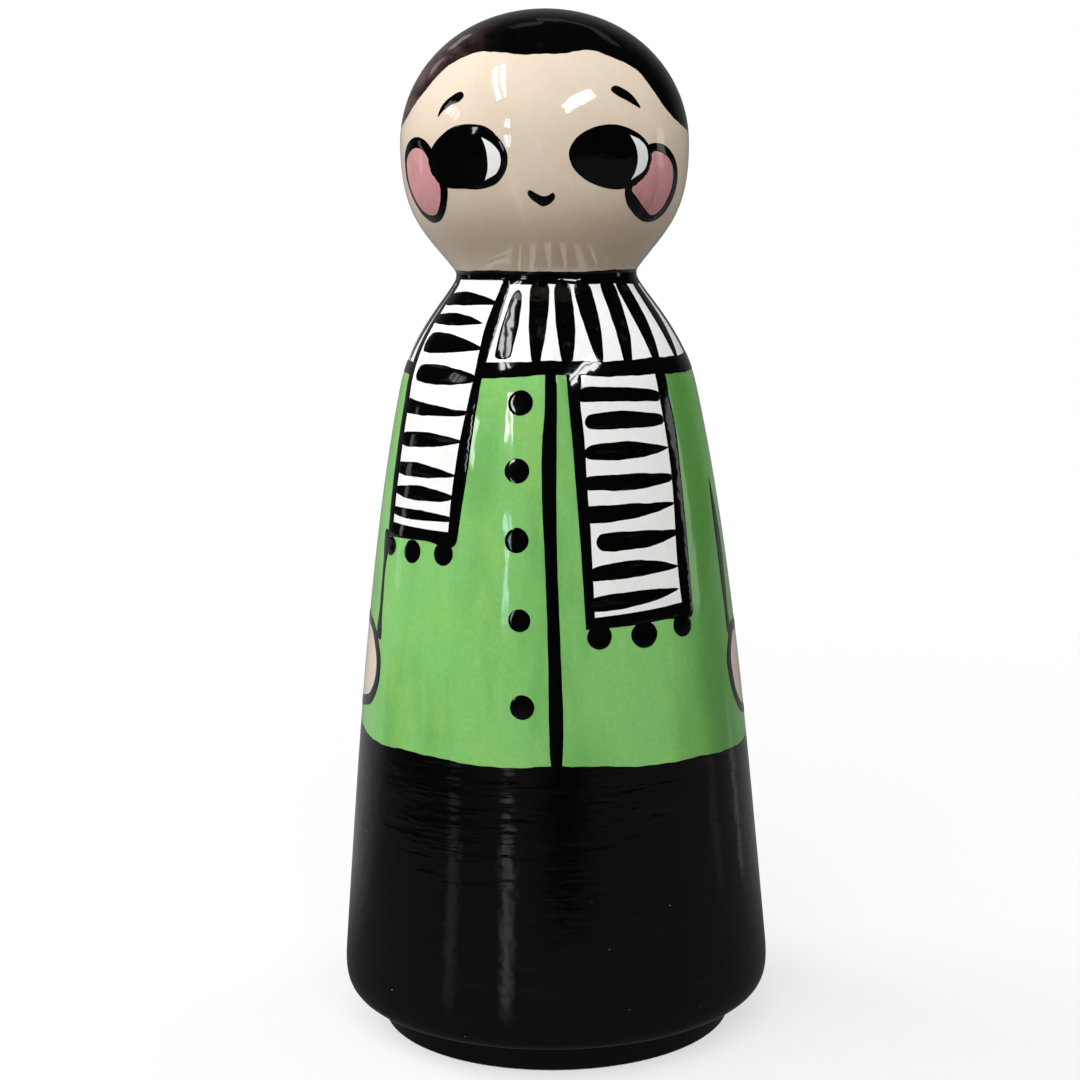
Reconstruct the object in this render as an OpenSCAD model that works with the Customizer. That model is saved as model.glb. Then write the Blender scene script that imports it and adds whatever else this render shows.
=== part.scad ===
// Peg doll: a hollow clay figure luted together from a head, a body and a base disc,
// then painted with separate fired coats of colour and brushed line work.
// Millimetres, +Z up. The doll stands on its foot ring at z = 0 and faces -Y.
// Left and right are as seen from the front, so left is -X.

/* [Body] */
// Outer diameter of the foot ring
foot_d = 87.8; // [82:0.1:94]
// Height of the foot ring
foot_h = 7.7; // [6:0.1:10]
// Diameter of the lower edge that overhangs the foot ring
edge_d = 100.3; // [97:0.1:104]
// Rise from the overhanging edge to the hips
hip_rise = 11; // [9:0.1:14]
// Diameter at the hips
hip_d = 107; // [105:0.1:114]
// Rise from the hips to the shoulder
side_rise = 141.3; // [132:0.1:160]
// Diameter at the shoulder
shoulder_d = 72.8; // [66:0.1:80]
// Rise from the shoulder to the neck
shoulder_rise = 26.6; // [24:0.1:32]
// Diameter at the neck
neck_d = 44.2; // [40:0.1:50]

/* [Head] */
// Rise from the neck to the widest part of the head
head_rise = 31.4; // [29:0.1:36]
// Diameter of the head
head_d = 70; // [64:0.1:78]
// Rise from the widest part of the head to the crown
crown_rise = 32; // [29:0.1:38]

/* [Clay] */
// Thickness of the clay wall of the head and the body
wall = 5; // [3.5:0.1:6]
// Thickness of the foot ring, measured across
foot_wall = 6; // [4:0.1:8]
// Thickness of the base disc
base_t = 6; // [4:0.1:8]
// Rise from the overhanging edge to the floor inside
floor_rise = 4; // [3:0.1:6]
// Diameter of the vent hole in the base disc
vent_d = 5; // [3:0.1:8]
// Depth of the scored groove at the neck joint
groove_depth = 2; // [1:0.1:3]
// Height of the scored groove at the neck joint
groove_h = 3; // [2:0.1:4]

/* [Coats] */
// Thickness of a base coat with its glaze
coat_t = 0.3; // [0.2:0.05:0.5]
// Thickness of the line work on top of the base coats
line_t = 0.2; // [0.15:0.05:0.4]
// Bare strip at the bottom of the foot ring
dry_foot = 1.5; // [1:0.1:3]

/* [Eyes] */
// Width of an eye
eye_w = 21; // [18:0.1:22]
// Height of an eye
eye_h = 14.6; // [12:0.1:16]
// Turn of the left eye from the front, in degrees
left_eye_angle = -32.5; // [-36:0.5:-29]
// Turn of the right eye from the front, in degrees
right_eye_angle = 27; // [24:0.5:32]
// Drop of the eyes below the widest part of the head
eye_drop = 4; // [2:0.1:6]
// Height of the white in an eye
eye_white_h = 9.8; // [8:0.1:11]
// Shift of the white's tips from the middle of the eye
eye_white_shift = 4.7; // [4:0.1:5]
// Bulge of the white's outer side
eye_white_out = 4.3; // [3.5:0.1:4.5]
// Bulge of the white's inner side
eye_white_in = 1.4; // [1:0.1:2]

/* [Cheeks, brows and mouth] */
// Width of a cheek with its ring
cheek_w = 19; // [16:0.1:21]
// Height of a cheek with its ring
cheek_h = 19; // [16:0.1:21]
// Width of the ring round a cheek
cheek_ring_w = 2; // [1.5:0.1:3]
// Turn of the left cheek from the front, in degrees
left_cheek_angle = -57.3; // [-60:0.1:-54]
// Turn of the right cheek from the front, in degrees
right_cheek_angle = 49.5; // [47:0.1:54]
// Drop of the cheeks below the widest part of the head
cheek_drop = 9.2; // [8:0.1:10]
// Length of an eyebrow
brow_l = 8; // [6:0.1:10]
// Width of an eyebrow at its thick end
brow_w = 2.4; // [1.6:0.1:3]
// Lean of an eyebrow below level, in degrees
brow_angle = 34; // [25:1:45]
// Turn of the thick end of the left eyebrow, in degrees
left_brow_angle = -34.5; // [-38:0.5:-30]
// Turn of the thick end of the right eyebrow, in degrees
right_brow_angle = 28.5; // [24:0.5:32]
// Rise of the thick ends above the widest part of the head
brow_rise = 11; // [9.5:0.1:13]
// Width of the mouth
mouth_w = 6.2; // [5:0.1:8]
// Bulge of the lower side of the mouth
mouth_out = 2.7; // [2:0.1:3]
// Bulge of the upper side of the mouth
mouth_in = 0.7; // [0.4:0.1:1.2]
// Turn of the mouth from the front, in degrees
mouth_angle = -1.8; // [-4:0.1:4]
// Drop of the mouth's corners below the widest part of the head
mouth_drop = 12; // [11:0.1:14]

/* [Scarf] */
// Reach of the dark neck band above the neck
band_rise = 1.4; // [1:0.1:2]
// Reach of the dark neck band below the neck
band_drop = 1.6; // [1.2:0.1:2.5]
// Drop from the neck to the middle of the collar's edge line
collar_drop = 20.8; // [18:0.1:24]
// Width of the collar's edge line
collar_edge_w = 3.3; // [2:0.1:4]
// Width of a collar stroke at its thick end
collar_stroke_w = 4.2; // [3:0.1:5]
// Width of a collar stroke at its thin end
collar_tip_w = 1.8; // [1:0.1:2.5]
// Turn of the first collar stroke, in degrees
collar_first_angle = -16.5; // [-18:0.5:-14]
// Turn from one collar stroke to the next, in degrees
collar_step_angle = 13.9; // [12:0.1:18]
// Width of the lines round the scarf tails
tail_line_w = 3.2; // [2:0.1:4]
// Turn of the short tail from the front, in degrees
short_angle = -48; // [-50:0.5:-46]
// Width of the short tail where it leaves the neck
short_top_w = 17.5; // [14:0.1:20]
// Width of the short tail over the shoulder
short_mid_w = 25.6; // [22:0.1:28]
// Width of the short tail at its end
short_end_w = 27; // [24:0.1:29]
// Drop of the short tail from the neck band to its end
short_l = 59.5; // [52:0.1:64]
// Turn of the long tail from the front, in degrees
long_angle = 29.3; // [27:0.1:32]
// Width of the long tail where it leaves the collar
long_top_w = 26; // [22:0.1:28]
// Width of the long tail at its end
long_end_w = 30; // [26:0.1:32]
// Drop of the long tail from the collar to its end
long_l = 58.8; // [50:0.1:64]
// Width of a tail stroke at its thick end
tail_stroke_w = 3.6; // [2.4:0.1:4.5]
// Width of a tail stroke at its thin end
tail_tip_w = 1.2; // [0.8:0.1:2]
// Diameter of a pompom
pompom_d = 6; // [4.5:0.1:7]

/* [Jacket] */
// Rise from the hips to the jacket's hem
hem_rise = 56.2; // [48:0.1:62]
// Slope of the hem, down to the right, in degrees
hem_angle = 2.6; // [0:0.1:4]
// Width of the line down the jacket's front
front_line_w = 3.2; // [2:0.1:4]
// Turn of the front line, in degrees
front_angle = 0.9; // [-1:0.1:2]
// Diameter of a button
button_d = 5.8; // [4.5:0.1:6.5]
// Turn of the buttons from the front, in degrees
button_angle = -10; // [-12:0.1:-8]

/* [Hands and sleeves] */
// Width of a hand with its outline
hand_w = 29; // [24:0.1:32]
// Height of a hand with its outline
hand_h = 23.5; // [20:0.1:27]
// Width of the outline round a hand
hand_line_w = 2.4; // [1.6:0.1:3]
// Turn of the hands from the front, in degrees
hand_angle = 80.5; // [78:0.5:84]
// Rise from the hem to the middle of the left hand
left_hand_rise = 18.5; // [16:0.1:21]
// Rise from the hem to the middle of the right hand
right_hand_rise = 14.5; // [12:0.1:17]
// Length of a sleeve line above the middle of the hand
sleeve_l = 44; // [36:0.1:48]
// Width of a sleeve line
sleeve_line_w = 3.2; // [2:0.1:4]
// Turn from the middle of a hand to each of its sleeve lines, in degrees
sleeve_angle = 11.5; // [10:0.5:13]

/* [Hidden] */
$fn = 96;

// Levels, from the ground up
hip_z = foot_h + hip_rise;
shoulder_z = hip_z + side_rise;
neck_z = shoulder_z + shoulder_rise;
head_z = neck_z + head_rise;
top_z = head_z + crown_rise;
hem_z = hip_z + hem_rise;
band_low_z = neck_z - band_drop;
band_high_z = neck_z + band_rise;
collar_z = neck_z - collar_drop;
edge_low_z = collar_z - collar_edge_w / 2;
edge_high_z = collar_z + collar_edge_w / 2;
floor_z = foot_h + floor_rise;

// Radii
foot_r = foot_d / 2;
edge_r = edge_d / 2;
hip_r = hip_d / 2;
shoulder_r = shoulder_d / 2;
neck_r = neck_d / 2;
head_r = head_d / 2;
base_r = foot_r - coat_t - foot_wall;
neck_clay_r = neck_r - coat_t;

// Overrun of the cuts and reach of the stencils
overrun = wall;
reach = hip_d;

// Curves of the painted surface, each with two end points and two pull points, crown to foot
crown_flat_share = 0.586;
crown_side_share = 0.54;
jaw_side_share = 0.541;
jaw_reach_share = 0.344;
jaw_angle = 37.8;
neck_lift = 2.1;
neck_fall = 3.1;
jaw_foot_share = 0.45;
crease_high_share = 0.7;
crease_low_share = 0.4;
shoulder_reach_share = 0.528;
shoulder_slope_share = 0.219;
side_high_share = 0.283;
side_low_share = 0.341;
hip_slope_share = 0.088;
tuck_high_share = 0.57;
tuck_low_share = 0.342;
edge_angle = 22.9;

jaw_way = [sin(jaw_angle), cos(jaw_angle)];
jaw_foot = [neck_r + neck_lift * tan(jaw_angle) * jaw_foot_share, neck_z + neck_lift];
CROWN = [
    [0, top_z],
    [head_r * crown_flat_share, top_z],
    [head_r, head_z + crown_rise * crown_side_share],
    [head_r, head_z]
];
JAW = [
    [head_r, head_z],
    [head_r, head_z - head_rise * jaw_side_share],
    jaw_foot + jaw_way * head_rise * jaw_reach_share,
    jaw_foot
];
CREASE = [
    jaw_foot,
    jaw_foot - jaw_way * neck_lift * crease_high_share,
    [neck_r, neck_z + neck_lift * crease_low_share],
    [neck_r, neck_z]
];
shoulder_pull = shoulder_rise * shoulder_reach_share;
SHOULDER = [
    [neck_r, neck_z],
    [neck_r, neck_z - neck_fall],
    [shoulder_r - shoulder_pull * shoulder_slope_share, shoulder_z + shoulder_pull],
    [shoulder_r, shoulder_z]
];
side_pull = side_rise * side_high_share;
hip_pull = side_rise * side_low_share;
SIDE = [
    [shoulder_r, shoulder_z],
    [shoulder_r + side_pull * shoulder_slope_share, shoulder_z - side_pull],
    [hip_r - hip_pull * hip_slope_share, hip_z + hip_pull],
    [hip_r, hip_z]
];
tuck_pull = hip_rise * tuck_high_share;
TUCK = [
    [hip_r, hip_z],
    [hip_r + tuck_pull * hip_slope_share, hip_z - tuck_pull],
    [edge_r, foot_h] + hip_rise * tuck_low_share * [cos(edge_angle), sin(edge_angle)],
    [edge_r, foot_h]
];

// A point on a curve, the outward direction there, and a run of both along the curve
function spot(c, t) =
    pow(1 - t, 3) * c[0] + 3 * t * pow(1 - t, 2) * c[1] + 3 * t * t * (1 - t) * c[2] + pow(t, 3) * c[3];
function way(c, t) =
    pow(1 - t, 2) * (c[1] - c[0]) + 2 * t * (1 - t) * (c[2] - c[1]) + t * t * (c[3] - c[2]);
function outward(d) = [-d[1], d[0]] / norm(d);
function run(c, steps, first = 1) =
    [for (i = [first : steps]) [spot(c, i / steps), outward(way(c, i / steps))]];
crown_steps = 9;
jaw_steps = 9;
crease_steps = 3;
shoulder_steps = 9;
side_steps = 10;
tuck_steps = 5;
HEAD_SKIN = concat(run(CROWN, crown_steps, 0), run(JAW, jaw_steps), run(CREASE, crease_steps));
FLANK_SKIN = concat(run(SHOULDER, shoulder_steps, 0), run(SIDE, side_steps));
BODY_SKIN = concat(FLANK_SKIN, run(TUCK, tuck_steps));
SKIN = concat(HEAD_SKIN, run(SHOULDER, shoulder_steps), run(SIDE, side_steps), run(TUCK, tuck_steps));

// The surface lifted along its outward directions, and the outline of a layer between two lifts
function lifted(skin, lift) = [for (s = skin) s[0] + lift * s[1]];
function backward(list) = [for (i = [len(list) - 1 : -1 : 0]) list[i]];
function layer(skin, low, high) = concat(lifted(skin, low), backward(lifted(skin, high)));

// Hairline at the front and nape line at the back: across as shares of the head's radius,
// up as shares of the crown's rise and of the head's rise
side_hair_share = 0.06;
hairline_shares = [
    [-0.97, 0.13], [-0.92, 0.21], [-0.82, 0.36], [-0.66, 0.53], [-0.55, 0.59], [-0.43, 0.63],
    [-0.3, 0.635], [0, 0.61], [0.3, 0.635], [0.43, 0.595], [0.55, 0.54], [0.65, 0.47],
    [0.73, 0.36], [0.8, 0.24], [0.86, 0.17], [0.94, 0.1]
];
nape_shares = [[-0.96, -0.14], [-0.86, -0.38], [-0.7, -0.55], [-0.5, -0.64], [-0.25, -0.67]];
function shared(shares, across, up) = [for (s = shares) [s[0] * across, s[1] * up]];
function mirrored(points) = [for (p = backward(points)) [-p[0], p[1]]];
function opening(line) = concat(
    [[-reach, -reach], [-reach, side_hair_share * crown_rise], [-head_r, side_hair_share * crown_rise]],
    line,
    [[head_r, side_hair_share * crown_rise], [reach, side_hair_share * crown_rise], [reach, -reach]]
);
nape_line = shared(nape_shares, head_r, head_rise);

// Flat shapes of the brush: an oval, a stroke along +X that thins to its tip, and a crescent
oval_points = 40;
stroke_points = 8;
function oval(w, h) = [
    for (i = [0 : oval_points - 1]) [w / 2 * cos(360 * i / oval_points), h / 2 * sin(360 * i / oval_points)]
];
function stroke_half(s, thick, tip) = (tip + (thick - tip) * cos(90 * s)) / 2 * sqrt(1 - pow(2 * s - 1, 8));
function stroke_side(l, thick, tip) = [
    for (i = [0 : stroke_points])
        let (s = (1 - cos(180 * i / stroke_points)) / 2) [l * s, stroke_half(s, thick, tip)]
];
function stroke(l, thick, tip) = concat(
    stroke_side(l, thick, tip),
    [for (i = [stroke_points - 1 : -1 : 1]) let (p = stroke_side(l, thick, tip)[i]) [p[0], -p[1]]]
);
function bow_r(chord, bulge) = (chord * chord / 4 + bulge * bulge) / (2 * bulge);

module crescent(chord, outer, inner) {
    difference() {
        translate([outer - bow_r(chord, outer), 0]) circle(bow_r(chord, outer));
        translate([inner - bow_r(chord, inner), 0]) circle(bow_r(chord, inner));
    }
}

// A band of base coat or of line work between two levels
module coat_band(low_z, high_z, low, high) {
    rotate_extrude() intersection() {
        polygon(layer(SKIN, low, high));
        translate([0, low_z]) square([reach, high_z - low_z]);
    }
}
module base_band(low_z, high_z) coat_band(low_z, high_z, -coat_t, 0);
module line_band(low_z, high_z) coat_band(low_z, high_z, 0, line_t);

// A flat shape carried outwards from the axis, turned from the front and set at a level
module stencil(turn, level) {
    rotate([0, 0, turn]) translate([0, 0, level]) rotate([90, 0, 0]) linear_extrude(reach) children();
}
module painted(turn, level, low, high) {
    intersection() {
        line_band(level + low, level + high);
        stencil(turn, level) children();
    }
}

// Clay pieces
module foot_outline() {
    clay = lifted(BODY_SKIN, -coat_t);
    under_z = clay[len(clay) - 1][1];
    polygon(concat([[0, neck_z]], clay, [[foot_r - coat_t, under_z], [foot_r - coat_t, 0], [0, 0]]));
}
module neck_groove() {
    polygon([
        [neck_clay_r - groove_depth, neck_z],
        [neck_clay_r + groove_depth, neck_z + groove_h],
        [neck_clay_r + groove_depth, neck_z - groove_h]
    ]);
}
module head_wall() polygon(layer(HEAD_SKIN, -coat_t - wall, -coat_t));
module body_wall() {
    hollow = lifted(FLANK_SKIN, -coat_t - wall);
    difference() {
        foot_outline();
        polygon(concat(
            [[0, neck_z + overrun], [hollow[0][0], neck_z + overrun]],
            hollow,
            [[edge_r - coat_t - wall, floor_z], [0, floor_z]]
        ));
        translate([0, -overrun]) square([base_r, floor_z + 2 * overrun]);
    }
}
module base_disc() {
    color("whitesmoke") difference() {
        translate([0, 0, floor_z - base_t]) cylinder(h = base_t, r = base_r);
        translate([0, 0, floor_z - base_t - overrun]) cylinder(h = base_t + 2 * overrun, d = vent_d);
    }
}
module body_shell() {
    color("whitesmoke") rotate_extrude() difference() {
        body_wall();
        neck_groove();
    }
}
module head_shell() {
    color("whitesmoke") rotate_extrude() difference() {
        head_wall();
        neck_groove();
    }
}
module neck_slip_ring() {
    color("gainsboro") rotate_extrude() intersection() {
        neck_groove();
        union() {
            head_wall();
            body_wall();
        }
    }
}

// Base coats
module face_area() {
    stencil(0, head_z) polygon(opening(shared(hairline_shares, head_r, crown_rise)));
    stencil(180, head_z) polygon(opening(concat(nape_line, [[0, nape_line[len(nape_line) - 1][1]]],
        mirrored(nape_line))));
}
module hair_coat() {
    color("black") difference() {
        base_band(band_high_z, top_z + overrun);
        face_area();
    }
}
module face_coat() {
    color("antiquewhite") intersection() {
        base_band(band_high_z, top_z);
        face_area();
    }
}
module neck_band() color("black") base_band(band_low_z, band_high_z);

short_mid_share = 0.33;
function short_half(s) = (s < short_mid_share
    ? short_top_w + (short_mid_w - short_top_w) * s / short_mid_share
    : short_mid_w + (short_end_w - short_mid_w) * (s - short_mid_share) / (1 - short_mid_share)) / 2;
function long_half(s) = (long_top_w + (long_end_w - long_top_w) * s) / 2;
short_spans = [0, short_mid_share, 1];
long_spans = [0, 1];
module short_area(inset) {
    right = [for (s = short_spans) [short_half(s) - inset, -s * short_l + s * inset]];
    polygon(concat(right, mirrored(right)));
}
module long_area(inset) {
    right = [for (s = long_spans) [long_half(s) - inset, -s * long_l + s * inset]];
    polygon(concat(right, mirrored(right)));
}
module short_stencil(inset) stencil(short_angle, band_low_z) short_area(inset);
module long_stencil(inset) stencil(long_angle, collar_z) long_area(inset);

module collar_coat() {
    color("white") difference() {
        base_band(collar_z, band_low_z);
        short_stencil(tail_line_w / 2);
    }
}
module short_tail_coat() {
    color("white") intersection() {
        base_band(band_low_z - short_l, band_low_z);
        short_stencil(tail_line_w / 2);
    }
}
module long_tail_coat() {
    color("white") intersection() {
        base_band(collar_z - long_l, collar_z);
        long_stencil(tail_line_w / 2);
    }
}
function hand_z(side) = hem_z + (side < 0 ? left_hand_rise : right_hand_rise);
module hand_stencil(side, inset) {
    stencil(side * hand_angle, hand_z(side)) polygon(oval(hand_w - 2 * inset, hand_h - 2 * inset));
}
hem_swing = hip_r * tan(hem_angle);
module above_hem() {
    translate([0, 0, hem_z]) rotate([0, hem_angle, 0]) translate([-reach, -reach, 0])
        cube([2 * reach, 2 * reach, reach]);
}
module jacket_coat() {
    color("yellowgreen") difference() {
        intersection() {
            base_band(hem_z - hem_swing - overrun, collar_z);
            above_hem();
        }
        short_stencil(tail_line_w / 2);
        long_stencil(tail_line_w / 2);
        for (side = [-1, 1]) hand_stencil(side, hand_line_w / 2);
    }
}
module hand(side) {
    color("antiquewhite") intersection() {
        base_band(hand_z(side) - hand_h, hand_z(side) + hand_h);
        hand_stencil(side, hand_line_w / 2);
    }
}
module left_hand() hand(-1);
module right_hand() hand(1);
module trousers_coat() {
    color("black") difference() {
        base_band(0, hem_z + hem_swing + overrun);
        above_hem();
    }
}
module foot_coat() {
    clay = lifted(BODY_SKIN, -coat_t);
    under_z = clay[len(clay) - 1][1];
    color("black") translate([0, 0, dry_foot]) difference() {
        cylinder(h = under_z - dry_foot, r = foot_r);
        translate([0, 0, -overrun]) cylinder(h = under_z + 2 * overrun, r = foot_r - coat_t);
    }
}

// Face
module eye_stencil(turn) stencil(turn, head_z - eye_drop) polygon(oval(eye_w, eye_h));
module eye_white_shape() translate([eye_white_shift, 0]) crescent(eye_white_h, eye_white_out, eye_white_in);
module eye(turn) {
    color("black") painted(turn, head_z - eye_drop, -eye_h, eye_h) difference() {
        polygon(oval(eye_w, eye_h));
        eye_white_shape();
    }
}
module eye_white(turn) {
    color("white") painted(turn, head_z - eye_drop, -eye_white_h, eye_white_h) eye_white_shape();
}
module left_eye() eye(left_eye_angle);
module right_eye() eye(right_eye_angle);
module left_eye_white() eye_white(left_eye_angle);
module right_eye_white() eye_white(right_eye_angle);

module cheek_middle() polygon(oval(cheek_w - 2 * cheek_ring_w, cheek_h - 2 * cheek_ring_w));
module cheek(turn, eye_turn) {
    color("palevioletred") difference() {
        painted(turn, head_z - cheek_drop, -cheek_h, cheek_h) cheek_middle();
        eye_stencil(eye_turn);
    }
}
module cheek_ring(turn, eye_turn) {
    color("black") difference() {
        painted(turn, head_z - cheek_drop, -cheek_h, cheek_h) difference() {
            polygon(oval(cheek_w, cheek_h));
            cheek_middle();
        }
        eye_stencil(eye_turn);
    }
}
module left_cheek() cheek(left_cheek_angle, left_eye_angle);
module right_cheek() cheek(right_cheek_angle, right_eye_angle);
module left_cheek_ring() cheek_ring(left_cheek_angle, left_eye_angle);
module right_cheek_ring() cheek_ring(right_cheek_angle, right_eye_angle);

brow_tip_share = 0.25;
module eyebrow(turn, lean) {
    color("black") painted(turn, head_z + brow_rise, -brow_l, brow_l)
        rotate(lean) polygon(stroke(brow_l, brow_w, brow_w * brow_tip_share));
}
module left_eyebrow() eyebrow(left_brow_angle, 180 + brow_angle);
module right_eyebrow() eyebrow(right_brow_angle, -brow_angle);
module mouth() {
    color("black") painted(mouth_angle, head_z - mouth_drop, -mouth_w, mouth_w)
        rotate(-90) crescent(mouth_w, mouth_out, mouth_in);
}

// Scarf line work
module collar_edge() {
    color("black") difference() {
        line_band(edge_low_z, edge_high_z);
        short_stencil(0);
    }
}
collar_stroke_l = band_low_z - edge_high_z;
short_half_angle = asin(short_top_w / 2 / neck_r);
collar_stroke_count = floor((360 + short_angle - short_half_angle - collar_first_angle) / collar_step_angle);
module collar_strokes() {
    color("black") for (i = [0 : collar_stroke_count - 1])
        painted(collar_first_angle + i * collar_step_angle, band_low_z, -collar_stroke_l, 0)
            rotate(-90) polygon(stroke(collar_stroke_l, collar_stroke_w, collar_tip_w));
}
short_stroke_shares = [0.05, 0.135, 0.225, 0.34, 0.48, 0.6, 0.725, 0.81, 0.895];
long_stroke_shares = [0.095, 0.205, 0.325, 0.44, 0.555, 0.67, 0.785, 0.905];
module tail_stroke(level, half) {
    translate([-half, -level]) polygon(stroke(2 * half, tail_stroke_w, tail_tip_w));
}
module short_tail_outline() {
    color("black") painted(short_angle, band_low_z, -short_l, 0) difference() {
        short_area(0);
        short_area(tail_line_w);
    }
}
module short_tail_strokes() {
    color("black") painted(short_angle, band_low_z, -short_l, 0)
        for (s = short_stroke_shares) tail_stroke(s * short_l, short_half(s) - tail_line_w);
}
module long_tail_outline() {
    color("black") painted(long_angle, collar_z, -long_l, -collar_edge_w / 2) difference() {
        long_area(0);
        long_area(tail_line_w);
    }
}
module long_tail_strokes() {
    color("black") painted(long_angle, collar_z, -long_l, -collar_edge_w / 2)
        for (s = long_stroke_shares) tail_stroke(s * long_l, long_half(s) - tail_line_w);
}
pompom_shares = [-0.78, 0, 0.78];
module pompom_row(half) {
    for (s = pompom_shares) translate([s * half, 0]) circle(d = pompom_d);
}
module short_tail_pompoms() {
    color("black") painted(short_angle, band_low_z - short_l - pompom_d / 2, -pompom_d / 2, pompom_d / 2)
        pompom_row(short_half(1));
}
module long_tail_pompoms() {
    color("black") painted(long_angle, collar_z - long_l - pompom_d / 2, -pompom_d / 2, pompom_d / 2)
        pompom_row(long_half(1));
}

// Jacket line work
front_l = edge_low_z - hem_z;
module front_line() {
    color("black") painted(front_angle, hem_z, 0, front_l)
        translate([-front_line_w / 2, 0]) square([front_line_w, front_l]);
}
button_shares = [0.07, 0.24, 0.42, 0.62, 0.85];
module buttons() {
    color("black") for (s = button_shares)
        painted(button_angle, edge_low_z - s * front_l, -button_d, button_d) circle(d = button_d);
}
module hand_outline(side) {
    color("black") difference() {
        painted(side * hand_angle, hand_z(side), -hand_h, hand_h) polygon(oval(hand_w, hand_h));
        hand_stencil(side, hand_line_w);
    }
}
module left_hand_outline() hand_outline(-1);
module right_hand_outline() hand_outline(1);
module sleeve_lines(side) {
    color("black") difference() {
        for (turn = [-sleeve_angle, sleeve_angle])
            painted(side * hand_angle + turn, hand_z(side), 0, sleeve_l)
                rotate(90) polygon(stroke(sleeve_l, sleeve_line_w, sleeve_line_w / 2));
        hand_stencil(side, 0);
        short_stencil(0);
        stencil(short_angle, band_low_z - short_l - pompom_d / 2) pompom_row(short_half(1));
    }
}
module left_sleeve_lines() sleeve_lines(-1);
module right_sleeve_lines() sleeve_lines(1);

base_disc();
body_shell();
head_shell();
neck_slip_ring();
hair_coat();
face_coat();
neck_band();
collar_coat();
short_tail_coat();
long_tail_coat();
jacket_coat();
left_hand();
right_hand();
trousers_coat();
foot_coat();
left_eye();
right_eye();
left_eye_white();
right_eye_white();
left_cheek();
right_cheek();
left_cheek_ring();
right_cheek_ring();
left_eyebrow();
right_eyebrow();
mouth();
collar_edge();
collar_strokes();
short_tail_outline();
short_tail_strokes();
short_tail_pompoms();
long_tail_outline();
long_tail_strokes();
long_tail_pompoms();
front_line();
buttons();
left_hand_outline();
right_hand_outline();
left_sleeve_lines();
right_sleeve_lines();
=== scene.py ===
"""Looks of a hand-painted, glazed ceramic peg doll, built round its packed construction.

Paint is laid out flat, as points across, along and above the surface, and Geometry Nodes wrap it round the
doll's silhouette. Azimuths are in degrees from the front, positive to the right as seen from the front, and
heights are in millimetres above the ground. Left and right are as seen from the front.
"""

import logging
import math
from collections.abc import Callable, Sequence
from dataclasses import dataclass, replace
from enum import Enum
from functools import cached_property

import bpy
import numpy as np
from mathutils import Matrix, Vector
from mathutils.geometry import delaunay_2d_cdt


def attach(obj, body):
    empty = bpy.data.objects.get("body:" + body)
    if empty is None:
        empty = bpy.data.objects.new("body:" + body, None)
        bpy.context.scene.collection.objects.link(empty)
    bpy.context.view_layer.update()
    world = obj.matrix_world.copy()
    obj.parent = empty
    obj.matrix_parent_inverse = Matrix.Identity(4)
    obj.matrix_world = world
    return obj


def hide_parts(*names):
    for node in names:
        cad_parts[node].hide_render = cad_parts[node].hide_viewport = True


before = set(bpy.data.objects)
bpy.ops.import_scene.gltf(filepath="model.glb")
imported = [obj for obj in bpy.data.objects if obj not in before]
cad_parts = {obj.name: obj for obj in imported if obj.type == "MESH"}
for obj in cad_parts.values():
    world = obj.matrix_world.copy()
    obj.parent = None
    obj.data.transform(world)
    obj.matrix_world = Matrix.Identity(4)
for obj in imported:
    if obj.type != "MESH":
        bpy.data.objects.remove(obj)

LOG = logging.getLogger("peg_doll")
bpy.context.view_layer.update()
MM = 0.001
BODY = "root"
FULL_TURN = 360.0
TINY = 1e-9
SMOOTH_STEPS = 40
DRAWN_STEP = 0.45 * MM
GRID = 0.9 * MM
GRID_CLEAR_SHARE = 0.55
GRID_MERGE_SHARE = 1e-6
MARK_STEPS = 160
DOT_D = 6.0
DOT_ROUND_SHARE = 0.5

# A spot is an azimuth with a height. A side is a height with two azimuths. A dab is a spot with a width and
# a height of its own, in millimetres.
Pair = tuple[float, float]
Spot = tuple[float, float]
Spots = tuple[Spot, ...]
Sides = tuple[tuple[float, float, float], ...]
Dabs = tuple[tuple[float, float, float, float], ...]
Colour = tuple[float, float, float]
OPAQUE_WHITE = (1.0, 1.0, 1.0, 1.0)


# Node trees

class Term:
    """A socket of a node tree that takes part in written sums."""

    def __init__(self, graph: "Graph", socket: bpy.types.NodeSocket) -> None:
        """Keep the socket and the graph that its maths goes into."""
        self.graph = graph
        self.socket = socket

    def out(self, name: str | int) -> "Term":
        """Return another output of the same node."""
        return Term(self.graph, self.socket.node.outputs[name])

    def math(self, operation: str, *values: "Term | float") -> "Term":
        """Return a Math node's result on the given values."""
        return self.graph.node("ShaderNodeMath", {"operation": operation}, dict(enumerate(values)))

    def __add__(self, other: "Term | float") -> "Term":
        """Return the sum."""
        return self.math("ADD", self, other)

    def __radd__(self, other: float) -> "Term":
        """Return the sum with a number on the left."""
        return self.math("ADD", other, self)

    def __sub__(self, other: "Term | float") -> "Term":
        """Return the difference."""
        return self.math("SUBTRACT", self, other)

    def __rsub__(self, other: float) -> "Term":
        """Return the difference from a number on the left."""
        return self.math("SUBTRACT", other, self)

    def __mul__(self, other: "Term | float") -> "Term":
        """Return the product."""
        return self.math("MULTIPLY", self, other)

    def __rmul__(self, other: float) -> "Term":
        """Return the product with a number on the left."""
        return self.math("MULTIPLY", other, self)

    def __truediv__(self, other: "Term | float") -> "Term":
        """Return the quotient."""
        return self.math("DIVIDE", self, other)

    def __rtruediv__(self, other: float) -> "Term":
        """Return the quotient of a number on the left."""
        return self.math("DIVIDE", other, self)

    def __neg__(self) -> "Term":
        """Return the value with its sign turned."""
        return self.math("MULTIPLY", self, -1.0)


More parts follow.
